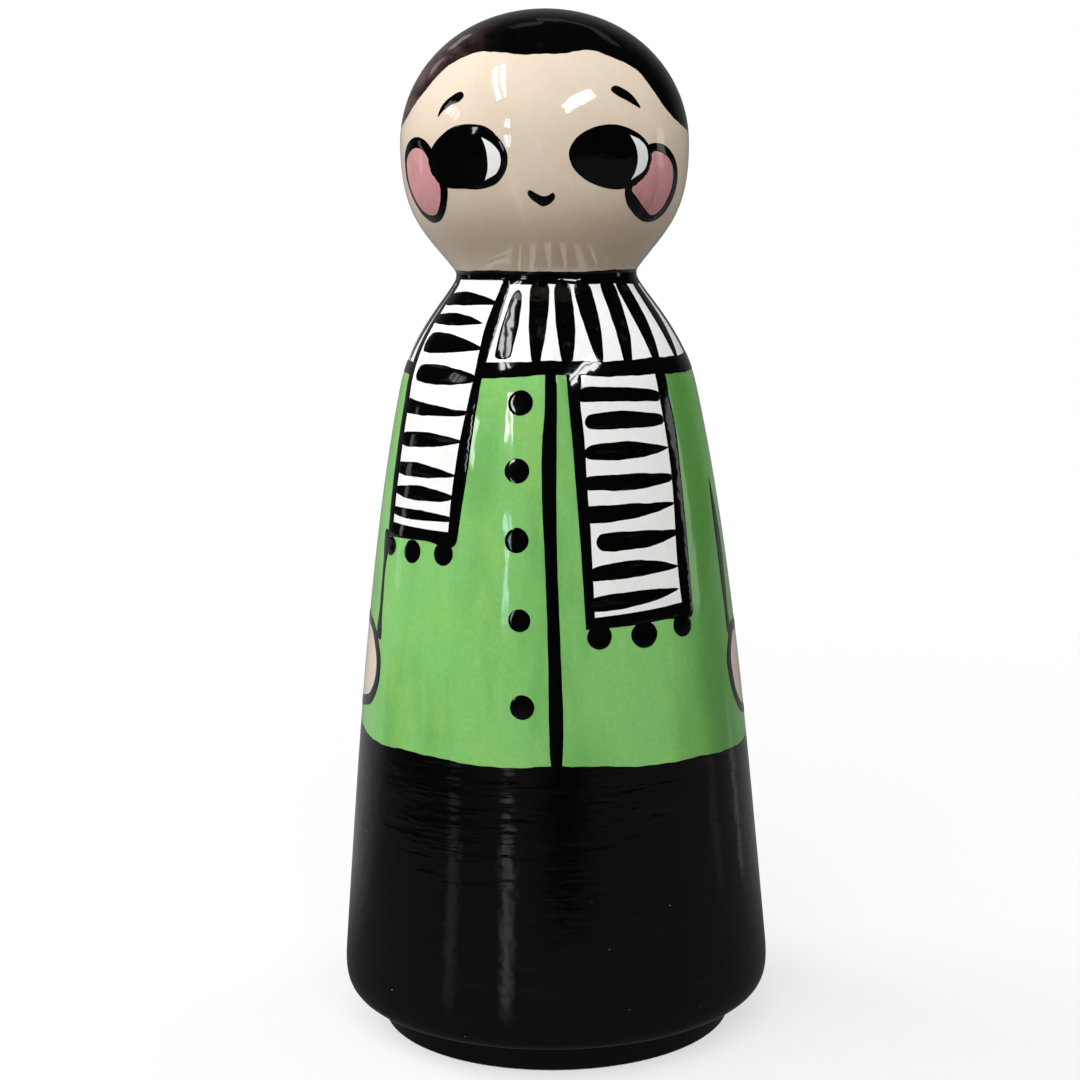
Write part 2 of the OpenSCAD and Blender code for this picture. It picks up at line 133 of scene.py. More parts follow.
class Graph:
    """Adds nodes to a node tree.

    The Mix node's colour sockets go by number, because sockets of other kinds have the same names.
    """

    MIX_FACTOR = 0
    MIX_FIRST = 6
    MIX_SECOND = 7
    MIX_RESULT = 2

    def __init__(self, tree: bpy.types.NodeTree) -> None:
        """Keep the tree and clear it."""
        self.tree = tree
        tree.nodes.clear()

    def node(
        self,
        kind: str,
        settings: dict[str, object] | None = None,
        sockets: dict[str | int, object] | None = None,
        out: str | int = 0,
    ) -> Term:
        """Add one node.

        Args:
            kind: The node's type.
            settings: Its properties, which are set first.
            sockets: Values or links of its inputs, by name or number.
            out: Name or number of the output to return.

        Returns:
            The chosen output.
        """
        made = self.tree.nodes.new(kind)
        for name, value in (settings or {}).items():
            setattr(made, name, value)
        for key, value in (sockets or {}).items():
            if isinstance(value, Term):
                self.tree.links.new(value.socket, made.inputs[key])
            else:
                made.inputs[key].default_value = value
        return Term(self, made.outputs[out] if made.outputs else made.inputs[0])

    def join(self, *values: Term | float) -> Term:
        """Return a vector of three values."""
        return self.node("ShaderNodeCombineXYZ", None, dict(enumerate(values)))

    def split(self, vector: Term) -> tuple[Term, Term, Term]:
        """Return a vector's three values."""
        parts = self.node("ShaderNodeSeparateXYZ", None, {0: vector})
        return parts, parts.out("Y"), parts.out("Z")

    def vector(
        self, operation: str, *values: Term | Sequence[float], scale: Term | float | None = None
    ) -> Term:
        """Return a Vector Math node's result."""
        sockets: dict[str | int, object] = dict(enumerate(values))
        if scale is not None:
            sockets["Scale"] = scale
        return self.node("ShaderNodeVectorMath", {"operation": operation}, sockets)

    def blend(self, factor: Term | float, first: Term | Colour, second: Term | Colour) -> Term:
        """Return two colours mixed by a factor."""
        pair = [value if isinstance(value, Term) else (*value, 1.0) for value in (first, second)]
        settings = {"data_type": "RGBA", "blend_type": "MIX"}
        sockets = {self.MIX_FACTOR: factor, self.MIX_FIRST: pair[0], self.MIX_SECOND: pair[1]}
        return self.node("ShaderNodeMix", settings, sockets, self.MIX_RESULT)

    def ease(self, value: Term, start: float, end: float) -> Term:
        """Return 0 below start, 1 above end and a smooth step between them."""
        settings = {"interpolation_type": "SMOOTHSTEP"}
        sockets = {"Value": value, "From Min": start, "From Max": end, "To Min": 0.0, "To Max": 1.0}
        return self.node("ShaderNodeMapRange", settings, sockets)


# The doll's form

@dataclass(frozen=True)
class Silhouette:
    """Half outline of the painted surface, from the foot ring up to the crown, in millimetres."""

    foot_d: float = 87.8
    foot_h: float = 7.7
    foot_fillet: float = 0.6
    dry_foot: float = 0.3
    edge_d: float = 100.3
    edge_angle: float = 22.9
    edge_pull: float = 1.2
    hip_rise: float = 11.0
    hip_d: float = 107.0
    side_rise: float = 141.3
    shoulder_d: float = 72.8
    shoulder_rise: float = 26.6
    neck_d: float = 44.2
    neck_lift: float = 2.1
    neck_fall: float = 3.1
    jaw_angle: float = 37.8
    head_rise: float = 31.4
    head_d: float = 70.0
    crown_rise: float = 32.0
    crown_flat_share: float = 0.586
    crown_side_share: float = 0.54
    jaw_side_share: float = 0.541
    jaw_reach_share: float = 0.344
    jaw_foot_share: float = 0.45
    crease_high_share: float = 0.7
    crease_low_share: float = 0.4
    shoulder_reach_share: float = 0.528
    shoulder_slope_share: float = 0.219
    side_high_share: float = 0.283
    side_low_share: float = 0.341
    hip_slope_share: float = 0.088
    tuck_high_share: float = 0.57
    tuck_low_share: float = 0.342
    steps: int = 160
    curve_steps: int = 64
    foot_stretches: int = 3

    @property
    def hip_z(self) -> float:
        """Return the height of the hips."""
        return self.foot_h + self.hip_rise

    @property
    def shoulder_z(self) -> float:
        """Return the height of the shoulder."""
        return self.hip_z + self.side_rise

    @property
    def neck_z(self) -> float:
        """Return the height of the neck."""
        return self.shoulder_z + self.shoulder_rise

    @property
    def head_z(self) -> float:
        """Return the height of the widest part of the head."""
        return self.neck_z + self.head_rise

    @property
    def top_z(self) -> float:
        """Return the height of the crown."""
        return self.head_z + self.crown_rise

    def _foot(self) -> list[np.ndarray]:
        """Return the stretches of the foot ring and the underside, upwards."""
        foot, edge, fillet = self.foot_d / 2, self.edge_d / 2, self.foot_fillet
        corner = np.array([foot, self.foot_h])
        start = np.array([foot, self.dry_foot])
        below = corner - [0, fillet]
        beside = corner + [fillet, 0]
        rim = np.array([edge, self.foot_h])
        slope = math.radians(self.edge_angle)
        lip = rim - self.edge_pull * np.array([math.cos(slope), math.sin(slope)])
        return [
            np.array([start, (2 * start + below) / 3, (start + 2 * below) / 3, below]),
            np.array([below, (below + corner) / 2, (beside + corner) / 2, beside]),
            np.array([beside, (beside + rim) / 2, lip, rim]),
        ]

    def _body(self) -> list[np.ndarray]:
        """Return the stretches from the lower edge to the neck, upwards."""
        hip, shoulder, neck = self.hip_d / 2, self.shoulder_d / 2, self.neck_d / 2
        rim = np.array([self.edge_d / 2, self.foot_h])
        slope = math.radians(self.edge_angle)
        lift = self.hip_rise * self.tuck_low_share * np.array([math.cos(slope), math.sin(slope)])
        tuck = self.hip_rise * self.tuck_high_share
        low, high = self.side_rise * self.side_low_share, self.side_rise * self.side_high_share
        reach = self.shoulder_rise * self.shoulder_reach_share
        hips, shoulders = np.array([hip, self.hip_z]), np.array([shoulder, self.shoulder_z])
        necks = np.array([neck, self.neck_z])
        flare, lean = np.array([-self.hip_slope_share, 1.0]), np.array([-self.shoulder_slope_share, 1.0])
        return [
            np.array([rim, rim + lift, hips - tuck * flare, hips]),
            np.array([hips, hips + low * flare, shoulders - high * lean, shoulders]),
            np.array([shoulders, shoulders + reach * lean, necks - [0, self.neck_fall], necks]),
        ]

    def _head(self) -> list[np.ndarray]:
        """Return the stretches from the neck to the crown, upwards."""
        neck, head = self.neck_d / 2, self.head_d / 2
        slope = math.radians(self.jaw_angle)
        way = np.array([math.sin(slope), math.cos(slope)])
        jaw_aside = self.neck_lift * math.tan(slope) * self.jaw_foot_share
        jaw = np.array([neck + jaw_aside, self.neck_z + self.neck_lift])
        necks, cheeks = np.array([neck, self.neck_z]), np.array([head, self.head_z])
        up = np.array([0.0, 1.0])
        crown = np.array([0.0, self.top_z])
        return [
            np.array([
                necks, necks + up * self.neck_lift * self.crease_low_share,
                jaw - way * self.neck_lift * self.crease_high_share, jaw,
            ]),
            np.array([
                jaw, jaw + way * self.head_rise * self.jaw_reach_share,
                cheeks - up * self.head_rise * self.jaw_side_share, cheeks,
            ]),
            np.array([
                cheeks, cheeks + up * self.crown_rise * self.crown_side_share,
                crown + [head * self.crown_flat_share, 0], crown,
            ]),
        ]

    @cached_property
    def stretches(self) -> list[np.ndarray]:
        """Return all stretches upwards, each with two end points and two pull points."""
        return [*self._foot(), *self._body(), *self._head()]

    @cached_property
    def course(self) -> np.ndarray:
        """Return rows of radius, height and length along the outline, upwards."""
        t = np.linspace(0, 1, self.steps + 1)[:, None]
        runs = [
            (1 - t) ** 3 * a + 3 * t * (1 - t) ** 2 * b + 3 * t * t * (1 - t) * c + t**3 * d
            for a, b, c, d in self.stretches
        ]
        line = np.concatenate([runs[0][:1], *[run[1:] for run in runs]])
        length = np.concatenate([[0], np.cumsum(np.linalg.norm(np.diff(line, axis=0), axis=1))])
        return np.column_stack([line, length])

    def along(self, height: np.ndarray | float) -> np.ndarray:
        """Return the metres along the outline at heights above the lower edge."""
        upper = self.course[self.foot_stretches * self.steps:]
        return np.interp(height, upper[:, 1], upper[:, 2]) * MM

    def radius(self, height: np.ndarray | float) -> np.ndarray:
        """Return the radius in metres at heights above the lower edge."""
        upper = self.course[self.foot_stretches * self.steps:]
        return np.interp(height, upper[:, 1], upper[:, 0]) * MM

    def curve(self) -> bpy.types.Object:
        """Return the outline as a curve object in the XZ plane, in metres."""
        data = bpy.data.curves.new("silhouette", "CURVE")
        data.dimensions = "3D"
        data.resolution_u = self.curve_steps
        spline = data.splines.new("BEZIER")
        spline.bezier_points.add(len(self.stretches))
        points = spline.bezier_points
        for point in points:
            point.handle_left_type = point.handle_right_type = "FREE"
        places = [[Vector((x, 0.0, z)) * MM for x, z in stretch] for stretch in self.stretches]
        for first, second, (start, pull, push, end) in zip(points, points[1:], places):
            first.co, first.handle_right = start, pull
            second.handle_left, second.co = push, end
        points[0].handle_left, points[-1].handle_right = points[0].co, points[-1].co
        made = bpy.data.objects.new("silhouette", data)
        bpy.context.scene.collection.objects.link(made)
        return made


def smooth(points: np.ndarray, closed: bool, step: float) -> np.ndarray:
    """Draw a smooth curve through points.

    Args:
        points: Rows of coordinates.
        closed: Whether the curve comes back to its first point.
        step: Distance from one drawn point to the next.

    Returns:
        Evenly spaced points; a closed curve doesn't repeat its first one.
    """
    ring = np.concatenate([points[-2:], points, points[:3]]) if closed else points
    chord = np.concatenate([[0], np.cumsum(np.linalg.norm(np.diff(ring, axis=0), axis=1))])
    if len(ring) > 2:
        pull = np.gradient(ring, chord, axis=0)
    else:
        pull = np.repeat([ring[1] - ring[0]], 2, 0) / chord[-1]
    first, last = (chord[2], chord[-3]) if closed else (chord[0], chord[-1])
    at = np.linspace(first, last, SMOOTH_STEPS * len(points))
    index = np.clip(np.searchsorted(chord, at, side="right") - 1, 0, len(chord) - 2)
    width = (chord[index + 1] - chord[index])[:, None]
    t = (at - chord[index])[:, None] / width
    dense = (
        (1 + 2 * t) * (1 - t) ** 2 * ring[index] + t * (1 - t) ** 2 * width * pull[index]
        + t * t * (3 - 2 * t) * ring[index + 1] - t * t * (1 - t) * width * pull[index + 1]
    )
    run = np.concatenate([[0], np.cumsum(np.linalg.norm(np.diff(dense, axis=0), axis=1))])
    count = max(2, round(run[-1] / step))
    even = np.linspace(0, run[-1], count + 1)
    drawn = np.column_stack([np.interp(even, run, dense[:, k]) for k in range(dense.shape[1])])
    return drawn[:-1] if closed else drawn


@dataclass(frozen=True)
class Contour:
    """A painted edge that runs right round the doll, through heights at a few azimuths.

    Each shake of the hand has its number in one turn, its start in radians and its share.
    """

    STEP = 0.5
    SHAKES = ((9, 1, 1.0), (23, 2, 0.7), (57, 0, 0.5))

    spots: Spots
    unsteady: float = 0.12

    def heights(self, azimuth: np.ndarray) -> np.ndarray:
        """Return the heights in millimetres at azimuths in degrees."""
        turn, height = np.array(sorted(self.spots)).T
        turns = np.concatenate([turn - FULL_TURN, turn, turn + FULL_TURN])
        line = smooth(np.column_stack([turns, np.tile(height, 3)]), False, self.STEP)
        angle = np.radians(azimuth)
        shake = sum(share * np.sin(count * angle + start) for count, start, share in self.SHAKES)
        return np.interp(azimuth, line[:, 0], line[:, 1]) + self.unsteady * shake


# Flat paint

@dataclass(frozen=True)
class Lifts:
    """Heights of a layer of paint above the painted surface, in millimetres, and how far its rim leans."""

    top: float
    rim: float
    bottom: float
    lean: float


class Layer(Enum):
    """The layers that the painter lays one on another."""

    BASE = Lifts(0.0, 0.0, -0.25, 0.0)
    WASH = Lifts(0.03, 0.01, -0.15, 0.02)
    TINT = Lifts(0.05, 0.02, -0.15, 0.03)
    LINE = Lifts(0.09, 0.03, -0.15, 0.10)
    GLINT = Lifts(0.13, 0.10, -0.15, 0.05)


@dataclass
class Sheet:
    """A closed, flat layer of paint: points across, along and above the surface, in metres."""

    points: np.ndarray
    faces: list[tuple[int, ...]]
    leans: np.ndarray

    def scaled(self, across: float, along: float) -> "Sheet":
        """Return the sheet with its flat sizes multiplied."""
        return Sheet(self.points * [across, along, 1.0], self.faces, self.leans)

    def thing(self, name: str) -> bpy.types.Object:
        """Return a linked object that holds the sheet."""
        mesh = bpy.data.meshes.new(name)
        mesh.from_pydata(self.points.tolist(), [], self.faces)
        for key, rows in (("lean", self.leans), ("unit", self.points)):
            kept = mesh.attributes.new(key, "FLOAT_VECTOR", "POINT")
            kept.data.foreach_set("vector", rows.astype(np.float32).ravel())
        made = bpy.data.objects.new(name, mesh)
        bpy.context.scene.collection.objects.link(made)
        return made


def lay(
    flat: np.ndarray, faces: list[tuple[int, ...]], layer: Layer, bare: Sequence[np.ndarray] = ()
) -> Sheet:
    """Give flat faces a top, a bottom and a rim.

    Args:
        flat: Rows of points across and along, in metres.
        faces: Faces that turn the same way, seen from above.
        layer: The layer of paint.
        bare: Masks of points; an edge between two points of one mask gets no rim, as on a seam or at a pole.

    Returns:
        The closed sheet.
    """
    lifts = layer.value
    edges = {(start, end) for face in faces for start, end in zip(face, face[1:] + face[:1])}
    border = [
        (start, end) for start, end in sorted(edges)
        if (end, start) not in edges and not any(mask[start] and mask[end] for mask in bare)
    ]
    outward = np.zeros_like(flat)
    for start, end in border:
        side = flat[end] - flat[start]
        outward[[start, end]] += np.array([side[1], -side[0]]) / max(np.linalg.norm(side), TINY)
    length = np.linalg.norm(outward, axis=1)
    on_border = length > TINY
    outward[on_border] /= length[on_border, None]
    count = len(flat)
    tops = np.where(on_border, lifts.rim, lifts.top) * MM
    points = np.concatenate([
        np.column_stack([flat, tops]),
        np.column_stack([flat, np.full(count, lifts.bottom * MM)]),
    ])
    leans = np.concatenate([
        np.column_stack([outward * lifts.lean, np.ones(count)]),
        np.column_stack([np.zeros((count, 2)), -np.ones(count)]),
    ])
    under = [tuple(index + count for index in face[::-1]) for face in faces]
    rim = [(end, start, start + count, end + count) for start, end in border]
    return Sheet(points, [*faces, *under, *rim], leans)


def holds(loops: Sequence[np.ndarray], points: np.ndarray) -> np.ndarray:
    """Return True for the points that lie inside an odd number of closed loops."""
    found = np.zeros(len(points), bool)
    for loop in loops:
        ends = np.roll(loop, -1, axis=0)
        for (x0, y0), (x1, y1) in zip(loop, ends):
            crosses = (y0 > points[:, 1]) != (y1 > points[:, 1])
            if crosses.any():
                x = x0 + (points[crosses, 1] - y0) / (y1 - y0) * (x1 - x0)
                found[crosses] ^= points[crosses, 0] < x
    return found


def fill(loops: Sequence[np.ndarray], layer: Layer) -> Sheet:
    """Fill closed loops with small triangles.

    Args:
        loops: Closed loops of evenly spaced points; a loop inside another leaves a hole.
        layer: The layer of paint.

    Returns:
        The closed sheet of paint.
    """
    border = np.concatenate(loops)
    low, high = border.min(0), border.max(0)
    rows = np.arange(low[1], high[1], GRID * math.sqrt(0.75))
    inner = np.array([
        (x + (index % 2) * GRID / 2, y)
        for index, y in enumerate(rows) for x in np.arange(low[0], high[0], GRID)
    ]).reshape(-1, 2)
    near = np.array([np.min(np.linalg.norm(border - point, axis=1)) for point in inner])
    inner = inner[near > GRID_CLEAR_SHARE * GRID]
    inner = inner[holds(loops, inner)]
    edges = []
    first = 0
    for loop in loops:
        edges += [(first + k, first + (k + 1) % len(loop)) for k in range(len(loop))]
        first += len(loop)
    unit = 1 / GRID
    spots = [Vector(point * unit) for point in np.concatenate([border, inner])]
    made, _, faces, *_ = delaunay_2d_cdt(spots, edges, [], 0, GRID_MERGE_SHARE)
    flat = np.array([(point.x, point.y) for point in made]) / unit
    middles = np.array([flat[list(face)].mean(0) for face in faces])
    kept = [tuple(face) for face, inside in zip(faces, holds(loops, middles)) if inside]
    turned = []
    for a, b, c in kept:
        u, v = flat[b] - flat[a], flat[c] - flat[a]
        turned.append((a, b, c) if u[0] * v[1] > u[1] * v[0] else (a, c, b))
    used = sorted({index for face in turned for index in face})
    place = {old: new for new, old in enumerate(used)}
    return lay(flat[used], [tuple(place[k] for k in face) for face in turned], layer)


# Wrapping with Geometry Nodes

class WrapTree:
    """Node group that wraps a flat sheet of paint round the silhouette."""

    WOBBLE_DETAIL = 3.0
    MERGE_REACH = 0.002 * MM
    INPUTS = (
        ("Sheet", "NodeSocketGeometry"),
        ("Silhouette", "NodeSocketObject"),
        ("Girth Radius", "NodeSocketFloat"),
        ("Hand Wobble", "NodeSocketFloat"),
        ("Wobble Size", "NodeSocketFloat"),
        ("Seed", "NodeSocketFloat"),
        ("Paint", "NodeSocketMaterial"),
    )

    def build(self) -> bpy.types.GeometryNodeTree:
        """Return the finished node group."""
        tree = bpy.data.node_groups.new("wrap paint on doll", "GeometryNodeTree")
        graph = Graph(tree)
        for name, kind in self.INPUTS:
            tree.interface.new_socket(name, in_out="INPUT", socket_type=kind)
        tree.interface.new_socket("Coat", in_out="OUTPUT", socket_type="NodeSocketGeometry")
        given = graph.node("NodeGroupInput")
        point, normal = self._places(graph, given)
        seeded = graph.vector("ADD", point, graph.join(given.out("Seed"), 0.0, 0.0))
        size = given.out("Wobble Size")
        waves = {"Vector": seeded, "Scale": 1.0 / size, "Detail": self.WOBBLE_DETAIL}
        shake = graph.node("ShaderNodeTexNoise", None, waves, "Color")
        centred = graph.vector("SUBTRACT", shake, (0.5, 0.5, 0.5))
        flat = graph.vector("MULTIPLY", centred, (2.0, 2.0, 0.0))
        shift = graph.vector("SCALE", flat, scale=given.out("Hand Wobble"))
        shaking = {"Geometry": given.out("Sheet"), "Offset": shift}
        shaken = graph.node("GeometryNodeSetPosition", None, shaking)
        marked = graph.node(
            "GeometryNodeStoreNamedAttribute", {"data_type": "FLOAT_VECTOR", "domain": "POINT"},
            {"Geometry": shaken, "Name": "outward", "Value": normal},
        )
        wrapped = graph.node("GeometryNodeSetPosition", None, {"Geometry": marked, "Position": point})
        merging = {"Geometry": wrapped, "Distance": self.MERGE_REACH}
        closed = graph.node("GeometryNodeMergeByDistance", None, merging)
        glossy = graph.node("GeometryNodeSetShadeSmooth", None, {"Geometry": closed})
        vectors = {"data_type": "FLOAT_VECTOR"}
        kept = graph.node("GeometryNodeInputNamedAttribute", vectors, {"Name": "outward"})
        normals = {"Mesh": glossy, "Custom Normal": kept}
        turned = graph.node("GeometryNodeSetMeshNormal", {"mode": "FREE", "domain": "POINT"}, normals)
        real = graph.node("GeometryNodeRealizeInstances", None, {"Geometry": turned})
        finish = {"Geometry": real, "Material": given.out("Paint")}
        painted = graph.node("GeometryNodeSetMaterial", None, finish)
        graph.node("NodeGroupOutput", None, {"Coat": painted})
        return tree

    @staticmethod
    def _places(graph: Graph, given: Term) -> tuple[Term, Term]:
        """Return the wrapped place and the outward direction of each flat point."""
        across, along, lift = graph.split(graph.node("GeometryNodeInputPosition"))
        turn = across / given.out("Girth Radius")
        line = graph.node("GeometryNodeObjectInfo", None, {"Object": given.out("Silhouette")}, "Geometry")
        spot = graph.node(
            "GeometryNodeSampleCurve", {"mode": "LENGTH"}, {"Curves": line, "Length": along}, "Position"
        )
        radius, _, height = graph.split(spot)
        run, _, rise = graph.split(spot.out("Tangent"))
        sine, cosine = turn.math("SINE", turn), turn.math("COSINE", turn)
        reach = radius + lift * rise
        point = graph.join(reach * sine, -(reach * cosine), height - lift * run)
        out = graph.join(rise * sine, -(rise * cosine), -run)
        around = graph.join(cosine, sine, 0.0)
        upward = graph.join(run * sine, -(run * cosine), rise)
        lean = graph.node("GeometryNodeInputNamedAttribute", {"data_type": "FLOAT_VECTOR"}, {"Name": "lean"})
        sideways, endways, face = graph.split(lean)
        parts = graph.vector("SCALE", around, scale=sideways), graph.vector("SCALE", upward, scale=endways)
        leaning = graph.vector("ADD", graph.vector("SCALE", out, scale=face), graph.vector("ADD", *parts))
        return point, graph.vector("NORMALIZE", leaning)


class StrokeTree:
    """Node group that draws one brush mark between many pairs of points and wraps them all.

    Each point carries the stroke's start, its reach, its three widths and its bow. The mark carries its own
    unit coordinates: the share of the length, and the share of the width from the middle.
    """

    INPUTS = (("Starts", "NodeSocketGeometry"), ("Mark", "NodeSocketObject"), *WrapTree.INPUTS[1:])

    def build(self, wrap: bpy.types.GeometryNodeTree) -> bpy.types.GeometryNodeTree:
        """Return the finished node group, which uses the wrapping group."""
        tree = bpy.data.node_groups.new("row of brush strokes", "GeometryNodeTree")
        graph = Graph(tree)
        for name, kind in self.INPUTS:
            tree.interface.new_socket(name, in_out="INPUT", socket_type=kind)
        tree.interface.new_socket("Coat", in_out="OUTPUT", socket_type="NodeSocketGeometry")
        given = graph.node("NodeGroupInput")
        mark = graph.node("GeometryNodeObjectInfo", None, {"Object": given.out("Mark")}, "Geometry")
        stamps = {"Points": given.out("Starts"), "Instance": mark}
        marks = graph.node("GeometryNodeInstanceOnPoints", None, stamps)
        loose = graph.node("GeometryNodeRealizeInstances", None, {"Geometry": marks})
        place, lean = self._drawn(graph)
        placed = graph.node("GeometryNodeSetPosition", None, {"Geometry": loose, "Position": place})
        sheet = graph.node(
            "GeometryNodeStoreNamedAttribute", {"data_type": "FLOAT_VECTOR", "domain": "POINT"},
            {"Geometry": placed, "Name": "lean", "Value": lean},
        )
        links = {name: given.out(name) for name, _ in WrapTree.INPUTS[1:]}
        coat = graph.node("GeometryNodeGroup", {"node_tree": wrap}, {"Sheet": sheet, **links})
        real = graph.node("GeometryNodeRealizeInstances", None, {"Geometry": coat})
        finish = {"Geometry": real, "Material": given.out("Paint")}
        painted = graph.node("GeometryNodeSetMaterial", None, finish)
        graph.node("NodeGroupOutput", None, {"Coat": painted})
        return tree

    @staticmethod
    def _drawn(graph: Graph) -> tuple[Term, Term]:
        """Return each point's flat place along its stroke, and its lean turned the same way."""
        kept = {
            name: graph.node("GeometryNodeInputNamedAttribute", {"data_type": kind}, {"Name": name})
            for name, kind in (
                ("unit", "FLOAT_VECTOR"), ("start", "FLOAT_VECTOR"), ("reach", "FLOAT_VECTOR"),
                ("widths", "FLOAT_VECTOR"), ("bow", "FLOAT"), ("lean", "FLOAT_VECTOR"),
            )
        }
        share, offset, lift = graph.split(kept["unit"])
        first, middle, last = graph.split(kept["widths"])
        rest = 1.0 - share
        width = first * rest * rest + middle * share * rest * 2.0 + last * share * share
        aside = offset * width + kept["bow"] * share * rest * 4.0
        across, along, _ = graph.split(graph.vector("NORMALIZE", kept["reach"]))
        square = graph.join(-along, across, 0.0)
        line = graph.vector("ADD", kept["start"], graph.vector("SCALE", kept["reach"], scale=share))
        flat = graph.vector("ADD", line, graph.vector("SCALE", square, scale=aside))
        place = graph.vector("ADD", flat, graph.join(0.0, 0.0, lift))
        endways, sideways, face = graph.split(kept["lean"])
        turned = graph.join(endways * across - sideways * along, endways * along + sideways * across, face)
        return place, turned


@dataclass(frozen=True)
class Stroke:
    """One brush stroke: its ends as azimuth and height, its widths in millimetres and its bow."""

    start: Spot
    end: Spot
    widths: tuple[float, float, float]
    bow: float = 0.0

    @classmethod
    def dab(cls, azimuth: float, height: float, across: float, along: float, girth: float) -> "Stroke":
        """Return a round dab, with its sizes in millimetres at a radius in millimetres."""
        half = math.degrees(across / 2 / girth)
        return cls((azimuth - half, height), (azimuth + half, height), (along, along, along))


